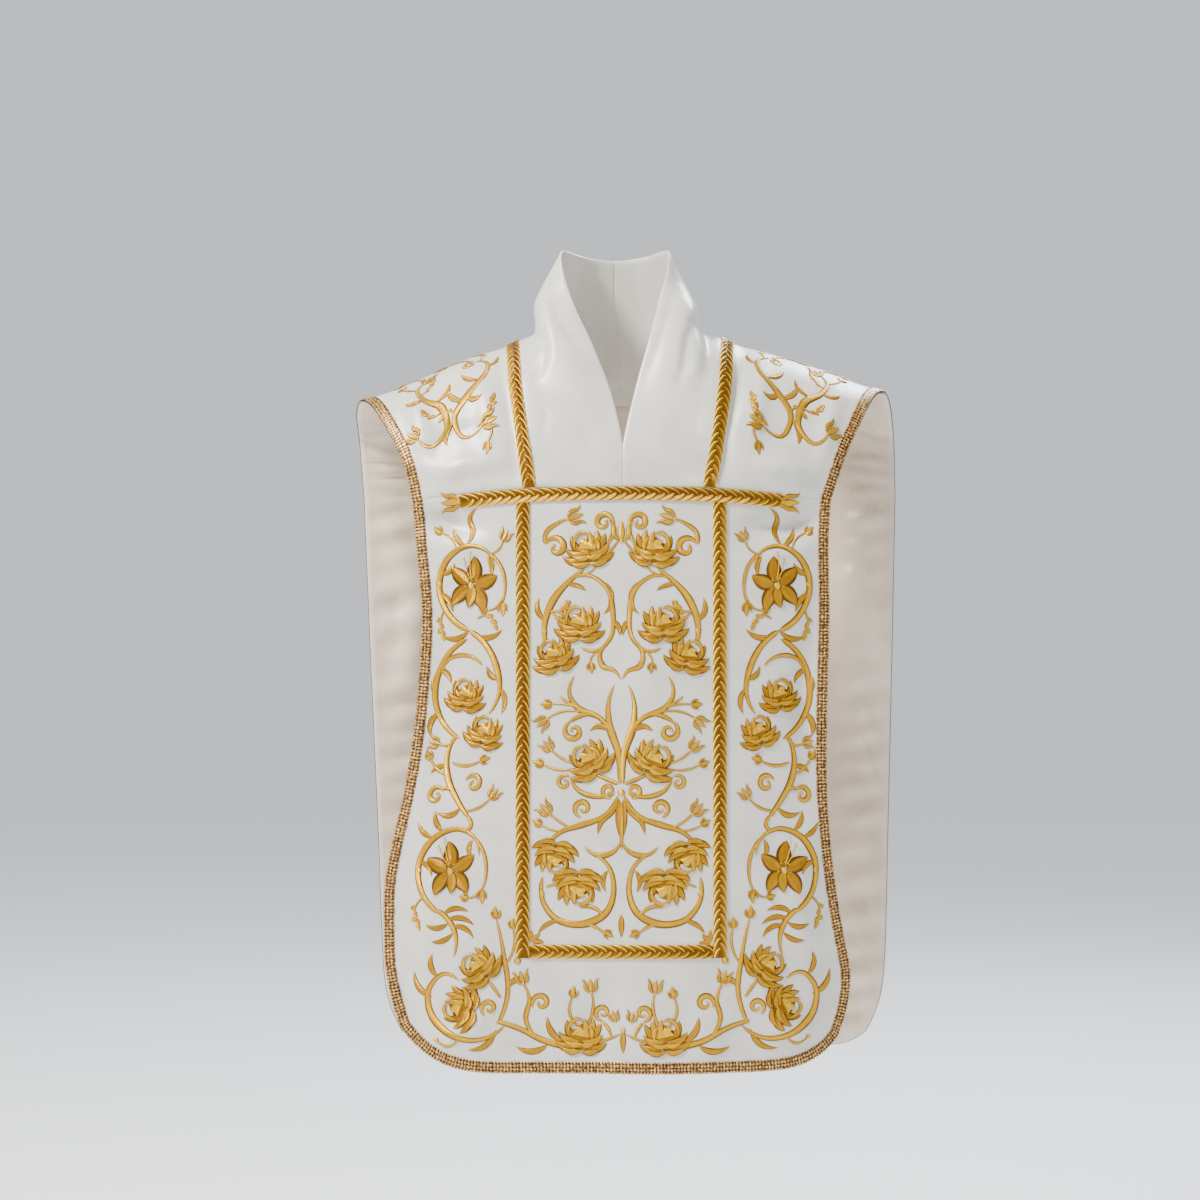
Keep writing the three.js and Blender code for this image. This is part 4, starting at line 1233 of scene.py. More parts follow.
# %% The edge all round, starting at the middle of the front hem
over = np.linspace(-0.999, 0.999, 160)
hem_right_x = np.linspace(0, edge_right[0], 90)[:-1]
hem_left_x = np.linspace(edge_left[0], 0, 90)[1:]
back_hem_x = np.linspace(back_right_x[-1], back_left_x[-1], SIDE_POINTS)[1:-1]
edge_x = np.concatenate(
    [
        hem_right_x,
        edge_right,
        shoulder_edge(1.0, over),
        back_right_x,
        back_hem_x,
        back_left_x[::-1],
        -shoulder_edge(-1.0, over[::-1]),
        edge_left[::-1],
        hem_left_x,
    ]
)
edge_wrap = np.concatenate(
    [
        wrap_on_front(hem_right_x, front_hem(hem_right_x)),
        front_edge_wrap(edge_right, down_up),
        over,
        back_edge_wrap(back_right_x, fall_down),
        wrap_on_back(back_hem(back_hem_x)),
        back_edge_wrap(back_left_x, fall_down)[::-1],
        over[::-1],
        front_edge_wrap(edge_left, down_up)[::-1],
        wrap_on_front(hem_left_x, front_hem(hem_left_x)),
    ]
)
print("the edge runs through", len(edge_x), "points")

# %% The relief of the galloon
GALLOON_STEP = 1.0
LOOP_STEPS = 4
GALLOON_ACROSS = np.array([-1.0, -0.75, 0.1, 1.4, 2.9, 4.4, 6.0, 7.6, 9.1, 10.6, 11.7, 12.2])
GALLOON_HEIGHT = np.array([-1.3, 0.1, 1.15, 1.45, 1.3, 1.45, 1.3, 1.45, 1.3, 1.45, 1.1, 0.1])
OUTER_PICOT = 0.75
INNER_PICOT = 0.7
LOZENGE_SLANT = 0.75  # turn of the pattern for each millimetre across
LOZENGE_RELIEF = 0.5
# painted light and shade: the raised parts of the lozenge are lighter and its hollows darker
LOZENGE_PAINTED_LIGHT = 0.4
PLAIN_TONE = 0.44
BORDER_SHADE = 0.3
GLITTER = 0.3
edge_length, edge_place = laid_strip(edge_x, edge_wrap)
galloon_count = LOOP_STEPS * int(edge_length / GALLOON_STEP / LOOP_STEPS)
galloon_rows = np.linspace(0, edge_length, galloon_count + 1)[:, None]
galloon_number = np.arange(galloon_count + 1)[:, None]
loop = galloon_number // 2 % 2
picots = INNER_PICOT * (GALLOON_ACROSS > 11.5) - OUTER_PICOT * (GALLOON_ACROSS < 0)
galloon_across = GALLOON_ACROSS + loop * picots
loop_turn = galloon_number * math.pi / LOOP_STEPS
slant = GALLOON_ACROSS * LOZENGE_SLANT
lozenge = np.sin(loop_turn + slant) * np.sin(loop_turn - slant)
glitter = np.random.default_rng(11).uniform(-GLITTER, GLITTER, lozenge.shape)
glitter[-1] = glitter[0]
galloon_height = GALLOON_HEIGHT + LOZENGE_RELIEF * lozenge * (GALLOON_HEIGHT > 1)
print("the galloon has", galloon_count, "steps and", galloon_count // LOOP_STEPS, "loops")

# %% Galloon
galloon_points = lift_from_cloth(*edge_place(galloon_rows, galloon_across), galloon_height)
galloon_faces = grid_faces(1, *galloon_height.shape)[:, ::-1]
galloon_maps = np.stack(np.broadcast_arrays(galloon_rows, GALLOON_ACROSS[None, :]), -1).reshape(-1, 2)
# tone: the galloon's own colour, the lozenge's painted light and shade, random glitter and the border's
# painted shade
galloon_tones = PLAIN_TONE + LOZENGE_PAINTED_LIGHT * lozenge + glitter - BORDER_SHADE * (GALLOON_HEIGHT < 0.5)
galloon = link_mesh(
    "galloon",
    galloon_points.reshape(-1, 3),
    galloon_faces.tolist(),
    [old_gold],
    maps=galloon_maps,
    tones=galloon_tones.reshape(-1),
)
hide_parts("edge_galloon")
print(f"galloon: {edge_length:.0f} mm round, {2 * len(galloon_faces)} triangles")

# %% [markdown]
# ## Padded gold embroidery
# Church embroidery of this kind is satin stitch over padding: thread laid side by side across each stem
# and petal, with a groove along the middle of a leaf where two slants meet. A displacement map would
# blur the fine edges, so each stem, leaf and petal is a thin domed shape. All are drawn flat, in
# millimetres, from a few elements, and only then laid on the cloth. The design is an ordinary one of
# scrolls, roses, lilies and buds, drawn once for one side and mirrored, as embroiderers do.

# %% How the thread lies across a shape
STITCH_ACROSS = np.array([-1, -0.82, -0.5, 0, 0.5, 0.82, 1])
STITCH_DOME = np.array([0, 0.6, 0.95, 1, 0.95, 0.6, 0])
# painted shade: each shape's tone darkens towards its edges, where the padding curves down
STITCH_EDGE_PAINTED_SHADE = np.array([-0.5, -0.34, 0.1, 0.2, 0.1, -0.34, -0.5])
LAYER_MM = 0.42  # each layer of padding stands this much prouder
THREAD_LIFT = 0.08
FULL_HALF = 1.3  # half width from which a shape is padded to its full height
GROOVE_CUT = 0.3
GROOVE_SHADE = 0.2
print(len(STITCH_ACROSS), "points across each shape, and", LAYER_MM, "mm for each layer")

# %% Lines and places of a drawing
def smooth_line(points, count):
    """An evenly spaced smooth line through a few points."""
    points = np.array(points, float)
    reach = reach_along(points)
    slopes = np.gradient(points, reach, axis=0, edge_order=min(2, len(points) - 1))
    place = np.linspace(0, reach[-1], count)
    k = np.clip(np.searchsorted(reach, place, side="right") - 1, 0, len(points) - 2)
    span = (reach[k + 1] - reach[k])[:, None]
    t = (place - reach[k])[:, None] / span
    ends = (2 * t**3 - 3 * t**2 + 1) * points[k] + (3 * t**2 - 2 * t**3) * points[k + 1]
    return ends + ((t**3 - 2 * t**2 + t) * slopes[k] + (t**3 - t**2) * slopes[k + 1]) * span


def set_down(points, place, turn=0, size=1.0):
    """Points drawn around (0, 0), turned by some degrees and moved to their place."""
    angle = math.radians(turn)
    spin = np.array([[math.cos(angle), math.sin(angle)], [-math.sin(angle), math.cos(angle)]])
    return np.array(points, float) @ spin * size + np.array(place, float)


print("a point 10 mm up, turned by 90 degrees:", set_down((0, 10), (0, 0), 90).round(1))


# %% One stitched shape: a grid of place (u, z), height, map (2) and tone
def stitched(line, half, dome=0.9, layer=0, groove=0.0, tone=0.5, lean=0.0):
    """A padded shape along a line; half is its half width at every point, lean paints one side lighter
    and the other darker as painted light.
    """
    ahead = np.gradient(line, axis=0)
    ahead /= np.linalg.norm(ahead, axis=1, keepdims=True) + 1e-9
    out = half[:, None] * STITCH_ACROSS
    u = line[:, :1] - ahead[:, 1:] * out
    z = line[:, 1:] + ahead[:, :1] * out
    full = np.minimum(1, half / FULL_HALF)[:, None]
    cut = 1 - groove * np.exp(-((STITCH_ACROSS / GROOVE_CUT) ** 2))
    height = THREAD_LIFT + layer * LAYER_MM + dome * full * STITCH_DOME * cut
    reach = reach_along(line)[:, None]
    slant = 0.8 * np.abs(out) if groove else 0.5 * out
    # painted shade: the tone darkens along a leaf's middle groove
    painted_groove_shade = 0.5 * groove * np.exp(-((STITCH_ACROSS / GROOVE_SHADE) ** 2))
    # shade: the shape's own tone, plus painted shade at the edges and in the groove, and lean's painted
    # light on one side
    shade = tone + STITCH_EDGE_PAINTED_SHADE + lean * STITCH_ACROSS - painted_groove_shade
    return [np.stack([u, z, height, reach + slant, out, np.broadcast_to(shade, u.shape)], -1)]


# %% Stems, leaves, knobs and curls
STEM_FULL = 1.75  # how much fuller a stem is sewn than it is drawn
LEAF_FULL = 1.22


def stem(points, start=0.6, middle=0.9, end=0.6, tone=0.52, layer=0):
    """A stem through some points, with its half width at the start, middle and end."""
    line = smooth_line(points, 6 + 5 * len(points))
    t = np.linspace(0, 1, len(line))
    rounded = np.minimum(1, np.minimum(t, 1 - t) * len(line) / 2 + 0.25)
    half = STEM_FULL * np.interp(t, [0, 0.5, 1], [start, middle, end])
    # lean paints one side of the stem lighter and the other darker: painted light
    return stitched(line, half * rounded, layer=layer, tone=tone, lean=0.16)


def leaf(points, width=6, tone=0.5, layer=0, groove=0.45):
    """A pointed leaf or petal, widest a little before its middle."""
    t = np.linspace(0, 1, 11)
    half = LEAF_FULL * width / 2 * np.sin(np.pi * t**0.85) ** 0.8 + 0.12
    return stitched(smooth_line(points, 11), half, layer=layer, groove=groove, tone=tone)


def knob(place, radius, tone=0.75, layer=1):
    t = np.linspace(-1, 1, 7)
    line = np.array(place, float) + np.stack([np.zeros(7), t * radius], 1)
    return stitched(line, radius * np.sqrt(1.03 - t**2), dome=1.1, layer=layer, tone=tone)


def curl(place, radius, start, turns, tone=0.55):
    """A scroll that winds in to a small ball; start is in degrees, and turns may be negative."""
    t = np.linspace(0, 1, 26)
    angle = math.radians(start) + 2 * math.pi * turns * t
    reach = radius * (1 - 0.72 * t)
    line = np.array(place, float) + np.stack([reach * np.cos(angle), reach * np.sin(angle)], 1)
    half = radius * (0.08 + 0.25 * np.sin(np.pi * t**0.7))
    # lean paints one side of the scroll lighter and the other darker: painted light
    return stitched(line, half, tone=tone, lean=0.14) + knob(line[-1], radius * 0.17, 0.7)


print("a leaf is a grid of", leaf([(0, 0), (0, 10)])[0].shape[:2], "points")


# %% Several petals as one flower
def petals(drawing, place, turn, size, tone):
    """Several leaf shapes drawn around (0, 0): points, width, layer, and a change of tone."""
    work = []
    for points, width, layer, change in drawing:
        line = set_down(points, place, turn, size)
        work += leaf(line, width * size / LEAF_FULL, tone + change, layer, 0.35)
    return work


# %% Buds, tulips and sprigs
BUD_FULL = 1.3
TULIP_FULL = 1.22
BUD_PETALS = [
    ([(0, 0), (0.4, 5), (0, 11)], 5, 0, 0.1),
    ([(0, 0), (-3, 3), (-3.6, 7.5)], 2.4, 1, -0.05),
    ([(0, 0), (3, 3), (3.6, 7.5)], 2.4, 1, -0.05),
]
TULIP_PETALS = [
    ([(0, 0), (0, 7), (0, 15)], 5.5, 0, 0.15),
    ([(-1, 0), (-5.5, 5), (-5.5, 10), (-9, 15)], 4, 1, 0),
    ([(1, 0), (5.5, 5), (5.5, 10), (9, 15)], 4, 1, 0.05),
]


def bud(place, turn=0, size=1.0, tone=0.5):
    return petals(BUD_PETALS, place, turn, size * BUD_FULL, tone)


def tulip(place, turn=0, size=1.0, tone=0.5):
    return petals(TULIP_PETALS, place, turn, size * TULIP_FULL, tone) + knob(place, 1.7 * size)


def sprig(points, leaf_length=8, tone=0.5):
    """A thin stem with small leaves on both sides and one at its tip."""
    width = 4.8
    line = smooth_line(points, 21)
    work = stem(points, 0.8, 0.8, 0.6, tone)
    for step, hand in ((8, 1), (12, -1), (16, 1), (18, -1)):
        ahead = line[step] - line[step - 1]
        turn = math.degrees(math.atan2(-ahead[0], ahead[1])) + 42 * hand
        twig = set_down([(0, 0), (0.2 * hand, 0.55), (0, 1.1)], line[step], turn, leaf_length)
        work += leaf(twig, width, tone + 0.1)
    tip = [line[-1], line[-1] * 4 - line[-2] * 3, line[-1] * 8 - line[-2] * 7]
    return work + leaf(tip, width, tone + 0.1)


print(len(bud((0, 0))), "shapes in a bud and", len(tulip((0, 0))), "in a tulip")


# %% Petals of a rose
ROSE_FULL = 1.36
ROSE_PETALS = [
    ([(0, -12), (0, -2), (0, 11)], 22, 0, -0.2),
    ([(-4, -4), (-12, 3), (-17, 13)], 8, 0, -0.05),
    ([(4, -4), (11, 3), (13, 14)], 7, 0, -0.1),
    ([(-3, -9), (-14, -10), (-23, -4)], 8, 1, -0.05),
    ([(3, -9), (14, -10), (23, -4)], 8, 1, -0.02),
    ([(-4, -2), (-9, 7), (-9, 17)], 7, 1, 0.06),
    ([(-1, -4), (-11, -4), (-19, 3)], 7.5, 2, 0.05),
    ([(1, -4), (12, -4), (20, 3)], 7.5, 2, 0.0),
    ([(-3, -1), (-3.5, 8), (-2, 16)], 6, 2, 0.1),
    ([(-6, 0), (0, 3), (8, 1)], 8, 2, 0.3),
    ([(0, 2), (3, 6), (7, 7)], 6.5, 2, 0.36),
    ([(-2, 12), (4, 15), (11, 9), (11, 0)], 3.6, 3, 0.14),
    ([(-9, -2), (-9, 5), (-5, 10)], 4.5, 3, 0.12),
    ([(-17, -10), (-8, -14), (1, -12)], 5.4, 3, 0.0),
    ([(-1, -12), (8, -14), (17, -10)], 5.4, 3, 0.06),
    ([(-12, -5), (-5, -8), (3, -6)], 5.2, 4, 0.1),
    ([(-1, -6), (6, -8), (14, -5)], 5.2, 4, 0.16),
]


def rose(place, turn=0, size=1.0, tone=0.5):
    return petals(ROSE_PETALS, place, turn, size * ROSE_FULL, tone)


print(len(rose((0, 0))), "petals in a rose")

# %% Petals of a lily
LILY_FULL = 1.58
LILY_PETALS = [
    ([(0, 2), (-1, 12), (1, 23)], 13, 0, -0.05),
    ([(-2, 1), (-12, 5), (-20, 11)], 12, 1, 0.02),
    ([(2, 1), (11, 6), (19, 12)], 12, 1, -0.04),
    ([(-2, -1), (-9, -9), (-13, -18)], 12, 2, 0.04),
    ([(2, -1), (9, -8), (14, -17)], 12, 2, 0),
    ([(0, 0), (-1, -9), (1, -17)], 10, 3, 0.06),
]
LILY_STALKS = ([(0, 4), (3, 14), (4, 25)], [(1, 4), (6, 12), (9, 20)])
LILY_STAMENS = ((-3.5, 5), (0, 6.5), (3.5, 5), (-5, -1), (5, -1))


def lily(place, turn=0, size=1.0, tone=0.4):
    size = size * LILY_FULL
    work = petals(LILY_PETALS, place, turn, size, tone) + knob(place, 2.6 * size, 0.8, 4)
    for stalk in LILY_STALKS:
        line = set_down(stalk, place, turn, size)
        work += stem(line, 0.35, 0.4, 0.35, 0.7, 5) + knob(line[-1], 1.3, 0.75, 5)
    for stamen in LILY_STAMENS:
        work += knob(set_down([stamen], place, turn, size)[0], 0.9, 0.9, 4)
    return work


print(len(lily((0, 0))), "shapes in a lily")


# %% Laying embroidery on the cloth
def gather(*shapes):
    """Several shapes as one piece of work."""
    return [grid for shape in shapes for grid in shape]


def mirrored(work):
    """The same shapes on the other side; their columns are swapped so that they still face outwards."""
    turned = [grid[:, ::-1].copy() for grid in work]
    for grid in turned:
        grid[..., 0] *= -1
    return turned


MAP_STEP = 37.0  # sets the thread pattern of each shape apart from the next


def lay_embroidery(name, work, on_cloth, flat_mm):
    """Builds one mesh of all shapes; on_cloth turns u and z into x and wrap."""
    faces, rows, count = [], [], 0
    for number, grid in enumerate(work):
        faces.append(grid_faces(1, *grid.shape[:2])[:, ::-1] + count)
        row = grid.reshape(-1, 6).copy()
        row[:, 3:5] += MAP_STEP * number
        rows.append(row)
        count += len(row)
    faces = np.concatenate(faces)
    rows = np.concatenate(rows)
    points = lift_from_cloth(*on_cloth(rows[:, 0], rows[:, 1]), rows[:, 2])
    piece = link_mesh(name, points, faces.tolist(), [gold_embroidery], None, rows[:, 3:5], rows[:, 5])
    print(f"{name}: {len(work)} stitched shapes, {2 * len(faces)} triangles on {flat_mm} mm")
    return piece


# %% [markdown]
# ## The column between the braids
# The middle panel carries a tall candelabrum of scrolls: paired roses under a tulip at the top, a round
# scroll on each side, a stem that swings out to more buds, and the same round scroll upside down at the
# foot. Real pieces like this are stitched by machine from one half drawing. The same is done here, with
# `u` measured out from the middle line.

# %% Column embroidery: the top
column_work = gather(
    rose((40, -264), -6),
    curl((21, -232), 12, 205, -1.15),
    stem([(20, -262), (12, -250), (9.5, -236)], 0.6, 1.6, 1.0),
    stem([(1, -250), (10, -262), (22, -274)], 0.5, 1.1, 0.8),
    curl((78, -262), 13, 20, 1.05),
    stem([(91, -258), (90, -244), (78, -234), (64, -228)], 1.6, 1.8, 0.8),
    tulip((64, -228), 72, 1.1),
    stem([(44, -288), (62, -302), (82, -326), (92, -356), (90, -378)], 1.2, 2.9, 1.6, 0.55),
    stem([(62, -300), (38, -296), (18, -310), (10, -340), (14, -372), (30, -386), (48, -382)], 1, 2, 1),
    leaf([(24, -302), (13, -316), (14, -334), (22, -342)]),
    leaf([(90, -350), (100, -338), (98, -322)]),
    leaf([(12, -348), (4, -356), (2, -368)], 5.5),
    leaf([(66, -306), (52, -308), (42, -314)], 5),
    stem([(54, -296), (38, -292), (30, -285)], 0.6, 0.8),
    knob((29, -283), 3.2, 0.6),
    sprig([(86, -338), (74, -338), (66, -332)]),
    sprig([(84, -340), (76, -346), (70, -350)], 5),
    knob((92, -362), 3.4, 0.7),
    rose((50, -354), 2, 1.0, 0.48),
    rose((80, -392), -14, 0.94, 0.46),
    stem([(18, -378), (26, -392), (22, -404), (8, -410), (1, -420)], 1.1, 2.2),
    stem([(30, -388), (36, -394), (37, -402)], 0.6, 0.8),
    bud((37, -400), 174, 0.95),
)
print("top of the column:", len(column_work), "shapes")

# %% Column embroidery: the middle
column_work += gather(
    stem([(2, -545), (3, -512), (15, -470), (15, -446), (8, -426)], 1.6, 3.0, 0.6, 0.56),
    stem([(10, -486), (26, -466), (52, -454), (62, -438), (56, -416)], 1.0, 2.4, 0.7),
    stem([(40, -458), (60, -450), (74, -440)], 0.8, 1.2, 0.8),
    stem([(46, -457), (66, -450), (84, -450)]),
    bud((83, -450), -86, 1.05),
    stem([(44, -460), (68, -458), (90, -468)]),
    tulip((88, -467), -128, 0.95),
    curl((57, -482), 12, 70, -1.15),
    stem([(36, -462), (50, -464), (62, -471)], 0.9, 1.8, 1.2),
    leaf([(12, -484), (24, -476), (38, -482)]),
    rose((38, -517), -30),
    stem([(4, -545), (16, -540), (30, -534)], 1.3, 1.6, 1.0),
    stem([(58, -520), (72, -514), (84, -504)], 0.7, 1.0, 0.7),
    tulip((83, -505), -42, 0.9),
    stem([(56, -527), (76, -528), (94, -522)]),
    bud((93, -522), -72),
    curl((68, -543), 9, 130, -1.1),
    stem([(8, -556), (30, -560), (52, -552), (60, -538)], 1.2, 2.0, 1.0),
    curl((15, -553), 9, 250, 1.1),
    leaf([(4, -558), (11, -576), (24, -590), (28, -606)], 7.5),
    leaf([(2, -562), (4, -584), (1, -610)], 5.5, 0.42),
    stem([(6, -566), (22, -584), (48, -594), (72, -602), (88, -616)], 1.2, 2.4, 1.2),
    curl((46, -574), 11, 285, 1.1),
    stem([(60, -598), (74, -590), (86, -580)], 0.7, 1.0, 0.7),
    tulip((85, -581), -46),
    stem([(66, -600), (82, -600), (96, -594)], 0.6, 0.8),
    bud((95, -594), -62, 0.95),
)
print("with its middle:", len(column_work), "shapes")

# %% Column embroidery: the foot
column_work += gather(
    rose((80, -632), 190, 0.92, 0.48),
    stem([(0, -612), (10, -626), (28, -630), (44, -620)], 0.6, 2.2),
    stem(
        [(34, -628), (16, -642), (9, -668), (18, -698), (46, -712), (78, -706), (94, -684), (94, -656)],
        1, 2.9, 1.4,
    ),
    stem([(22, -702), (34, -692), (50, -692)], 0.9, 1.6, 1.0),
    rose((52, -668), 182),
    leaf([(16, -648), (22, -660), (18, -674)], 5),
    sprig([(90, -668), (80, -664), (72, -656)], 5.5),
    knob((95, -676), 3.4, 0.7),
    stem([(46, -712), (30, -716), (20, -724)], 0.8, 1.2),
    bud((21, -721), 118, 0.95),
    leaf([(74, -708), (88, -712), (100, -724)], 5),
)
print("one half of the column:", len(column_work), "shapes")

# %% Column embroidery, laid on the cloth
column_middle = gather(
    tulip((0, -254), 0, 1.35, 0.55),
    knob((0, -555), 4.2, 0.72, 2),
    leaf([(0, -700), (0, -712), (0, -728)]),
    leaf([(0, -566), (0, -590), (0, -624)], 5, 0.6, 1),
)


def on_column(u, z):
    return COLUMN_CENTRE + u, wrap_on_front(COLUMN_CENTRE + u, z)


column_work = column_work + mirrored(column_work) + column_middle
column_embroidery = lay_embroidery("column_embroidery", column_work, on_column, (218, 506))

# %% [markdown]
# ## Scrolls down both sides, along the hem and on the shoulders
# Outside the braids a vine winds down each side, round a lily, two roses and another lily. Its middle
# line follows the shape of the panel, so the drawing is bent with it: `u` is measured outwards from
# that line. Sprays fill the lower corners and meet under the column, and light scrolls lie on both
# shoulders.

# %% Side embroidery: round the upper lily
SIDE_NARROW = 0.92
side_axis = curve_pair(
    [-740, -650, -480, -330, -200],
    [208, 205, 190, 182, 183],
    [197, 192, 187, 186, 184],
)
side_work = gather(
    stem(
        [(-30, -288), (-22, -268), (4, -260), (32, -276), (43, -308), (30, -342), (2, -362)],
        0.7, 2.7, 2.2,
    ),
    stem([(2, -362), (-20, -378), (-36, -404), (-42, -436), (-30, -462)], 2.0, 2.6, 0.9),
    lily((0, -308), 8),
    knob((42, -306), 3.2, 0.7),
    leaf([(6, -258), (-2, -244), (2, -226), (-8, -214)], 6.5),
    stem([(20, -264), (28, -250), (40, -244)]),
    bud((39, -245), -52),
    stem([(-24, -270), (-36, -264), (-42, -252)]),
    tulip((-41, -254), 30, 0.85),
    sprig([(34, -334), (40, -350), (38, -364)]),
    leaf([(42, -316), (30, -326), (24, -340)], 6.5),
    leaf([(8, -260), (20, -250), (24, -238)]),
    stem([(-22, -268), (-38, -284), (-44, -308), (-40, -330)], 1.2, 1.6, 0.7),
    bud((-40, -328), 176, 1.2),
    stem([(-42, -318), (-32, -334), (-20, -338)], 0.6, 1.0),
    bud((-21, -338), -76, 0.9),
    sprig([(-8, -348), (-22, -344), (-30, -352)], 6),
    leaf([(-8, -368), (-26, -370), (-42, -360)]),
    leaf([(2, -362), (20, -372), (38, -368)]),
    leaf([(40, -294), (29, -290), (22, -280)]),
    leaf([(-20, -272), (-26, -284), (-24, -298)], 5.5),
)
print("round the upper lily:", len(side_work), "shapes")

# %% Side embroidery: the two roses and the buds below them
side_work += gather(
    stem([(36, -416), (26, -396), (2, -392), (-18, -404)], 0.6, 1.8, 0.8),
    stem([(4, -372), (26, -388), (40, -414), (42, -444), (30, -472), (6, -492)], 1.8, 2.7, 1.6),
    rose((2, -440), 6, 0.92, 0.44),
    rose((-26, -484), 14, 0.9, 0.46),
    leaf([(34, -460), (46, -474), (44, -490)], 7),
    leaf([(41, -440), (46, -430), (45, -416)], 5),
    leaf([(-42, -430), (-50, -446), (-46, -462)]),
    leaf([(40, -408), (28, -414), (22, -426)]),
    leaf([(-40, -420), (-30, -416), (-24, -404)]),
    stem([(10, -490), (22, -500), (34, -498)], 0.7, 1.1, 0.7),
    tulip((32, -498), -80, 0.85),
    stem([(12, -488), (20, -512), (16, -540), (2, -564), (-16, -586)], 1.4, 2.7, 1.6),
    stem([(14, -520), (-6, -524), (-24, -518)], 0.9, 1.4, 0.7),
    bud((-23, -518), 76, 1.05),
    curl((-18, -545), 11, 20, 1.1),
    stem([(16, -536), (30, -530), (42, -516)], 0.8, 1.3, 0.7),
    bud((41, -517), -34),
    curl((30, -560), 11, 150, -1.1),
    stem([(4, -562), (14, -552), (22, -552)], 1.0, 1.4, 1.2),
    leaf([(-4, -574), (10, -584), (26, -580)]),
    leaf([(18, -526), (30, -526), (40, -534)], 5.5),
    stem([(-10, -578), (-28, -574), (-42, -562)], 0.8, 1.2),
    tulip((-41, -563), 38, 0.9),
)
print("down to the middle:", len(side_work), "shapes")

# %% Side embroidery: round the lower lily
side_work += gather(
    stem(
        [(-34, -632), (-28, -612), (-6, -600), (26, -610), (44, -642), (38, -676), (14, -700)],
        0.7, 2.7, 1.9,
    ),
    stem([(-14, -584), (-20, -596), (-10, -603)], 1.4, 1.6, 1.2),
    lily((2, -650), -6),
    knob((43, -650), 3.2, 0.7),
    leaf([(16, -602), (26, -592), (28, -578)]),
    leaf([(28, -610), (42, -604), (50, -592)], 5.5),
    stem([(-26, -610), (-40, -628), (-45, -652), (-40, -674)], 1.2, 1.6, 0.7),
    bud((-40, -672), 176, 1.2),
    stem([(-44, -660), (-34, -678), (-22, -682)], 0.6, 1.0),
    bud((-23, -682), -76, 0.9),
    sprig([(36, -682), (46, -694), (44, -710)]),
    leaf([(44, -640), (32, -644), (26, -656)]),
    leaf([(-24, -612), (-20, -624), (-26, -636)], 5.5),
    stem([(18, -696), (2, -708), (-8, -726), (-6, -752)], 1.8, 2.2),
)
for plume in (
    [(10, -702), (-8, -694), (-24, -698)],
    [(4, -708), (-16, -706), (-32, -714)],
    [(-2, -716), (-20, -718), (-32, -730)],
    [(2, -712), (20, -718), (32, -714)],
    [(-4, -724), (12, -734), (24, -734)],
):
    side_work += leaf(plume, 5.5, 0.46)
print("the whole vine:", len(side_work), "shapes")


# %% Side embroidery, laid on both sides
def on_side(hand):
    """The drawing bent to the middle line of one side: -1 is left and 1 is right."""

    def placed(u, z):
        x = SIDE_NARROW * u + hand * side_axis(float(hand), z)
        return x, wrap_on_front(x, z)

    return placed


side_left = lay_embroidery("side_embroidery_left", mirrored(side_work), on_side(-1), (96, 540))
side_right = lay_embroidery("side_embroidery_right", side_work, on_side(1), (96, 540))

# %% Hem embroidery
hem_work = gather(
    stem([(2, -842), (26, -852), (56, -858), (92, -852), (126, -836), (152, -828)], 0.7, 2.4, 1.6),
    rose((50, -846), 4),
    stem([(54, -834), (64, -816), (60, -798)], 0.8, 1.2),
    bud((60, -800), 8, 1.05),
    stem([(44, -834), (36, -814), (38, -792)], 0.8, 1.2),
    tulip((38, -794), -4, 0.95),
    curl((24, -818), 10, 270, 1.1),
    stem([(14, -846), (18, -836), (24, -829)], 0.8, 1.3, 1.0),
    tulip((9, -828), -16, 0.75),
    leaf([(72, -852), (86, -840), (90, -822)], 7),
    leaf([(90, -856), (108, -864), (128, -858)], 6.5),
    stem([(104, -848), (116, -826), (112, -800), (120, -782)], 1.2, 2.0),
    tulip((119, -784), -14, 0.95),
    curl((98, -806), 11, 330, 1.1),
    stem([(150, -832), (138, -796), (142, -752), (152, -704)], 1.4, 2.0),
    bud((151, -706), -8, 1.1),
    stem([(140, -760), (130, -738), (132, -716)], 0.8, 1.1),
    bud((132, -718), 2),
    leaf([(140, -790), (124, -778), (112, -782)]),
    rose((172, -764), -42, 0.95, 0.46),
    stem([(146, -800), (156, -786), (164, -776)], 0.9, 1.3, 0.9),
    stem(
        [(142, -834), (172, -850), (206, -844), (230, -820), (232, -790), (214, -772), (196, -780)],
        1.0, 2.9, 1.0,
    ),
    rose((194, -812), -78, 0.95, 0.45),
    leaf([(228, -800), (244, -790), (250, -770)], 6.5),
    leaf([(222, -776), (230, -764), (228, -748)]),
    stem([(196, -848), (210, -858), (222, -852)], 0.7, 1.1),
    knob((223, -851), 3, 0.7),
    curl((160, -812), 10, 300, 1.1),
    leaf([(152, -838), (166, -858), (186, -862)]),
)
hem_middle = gather(leaf([(0, -838), (0, -852), (0, -866)], 6), knob((0, -838), 3, 0.75))


def on_hem(u, z):
    return u, wrap_on_front(u, z)


hem_work = hem_work + mirrored(hem_work) + hem_middle
hem_embroidery = lay_embroidery("hem_embroidery", hem_work, on_hem, (500, 170))

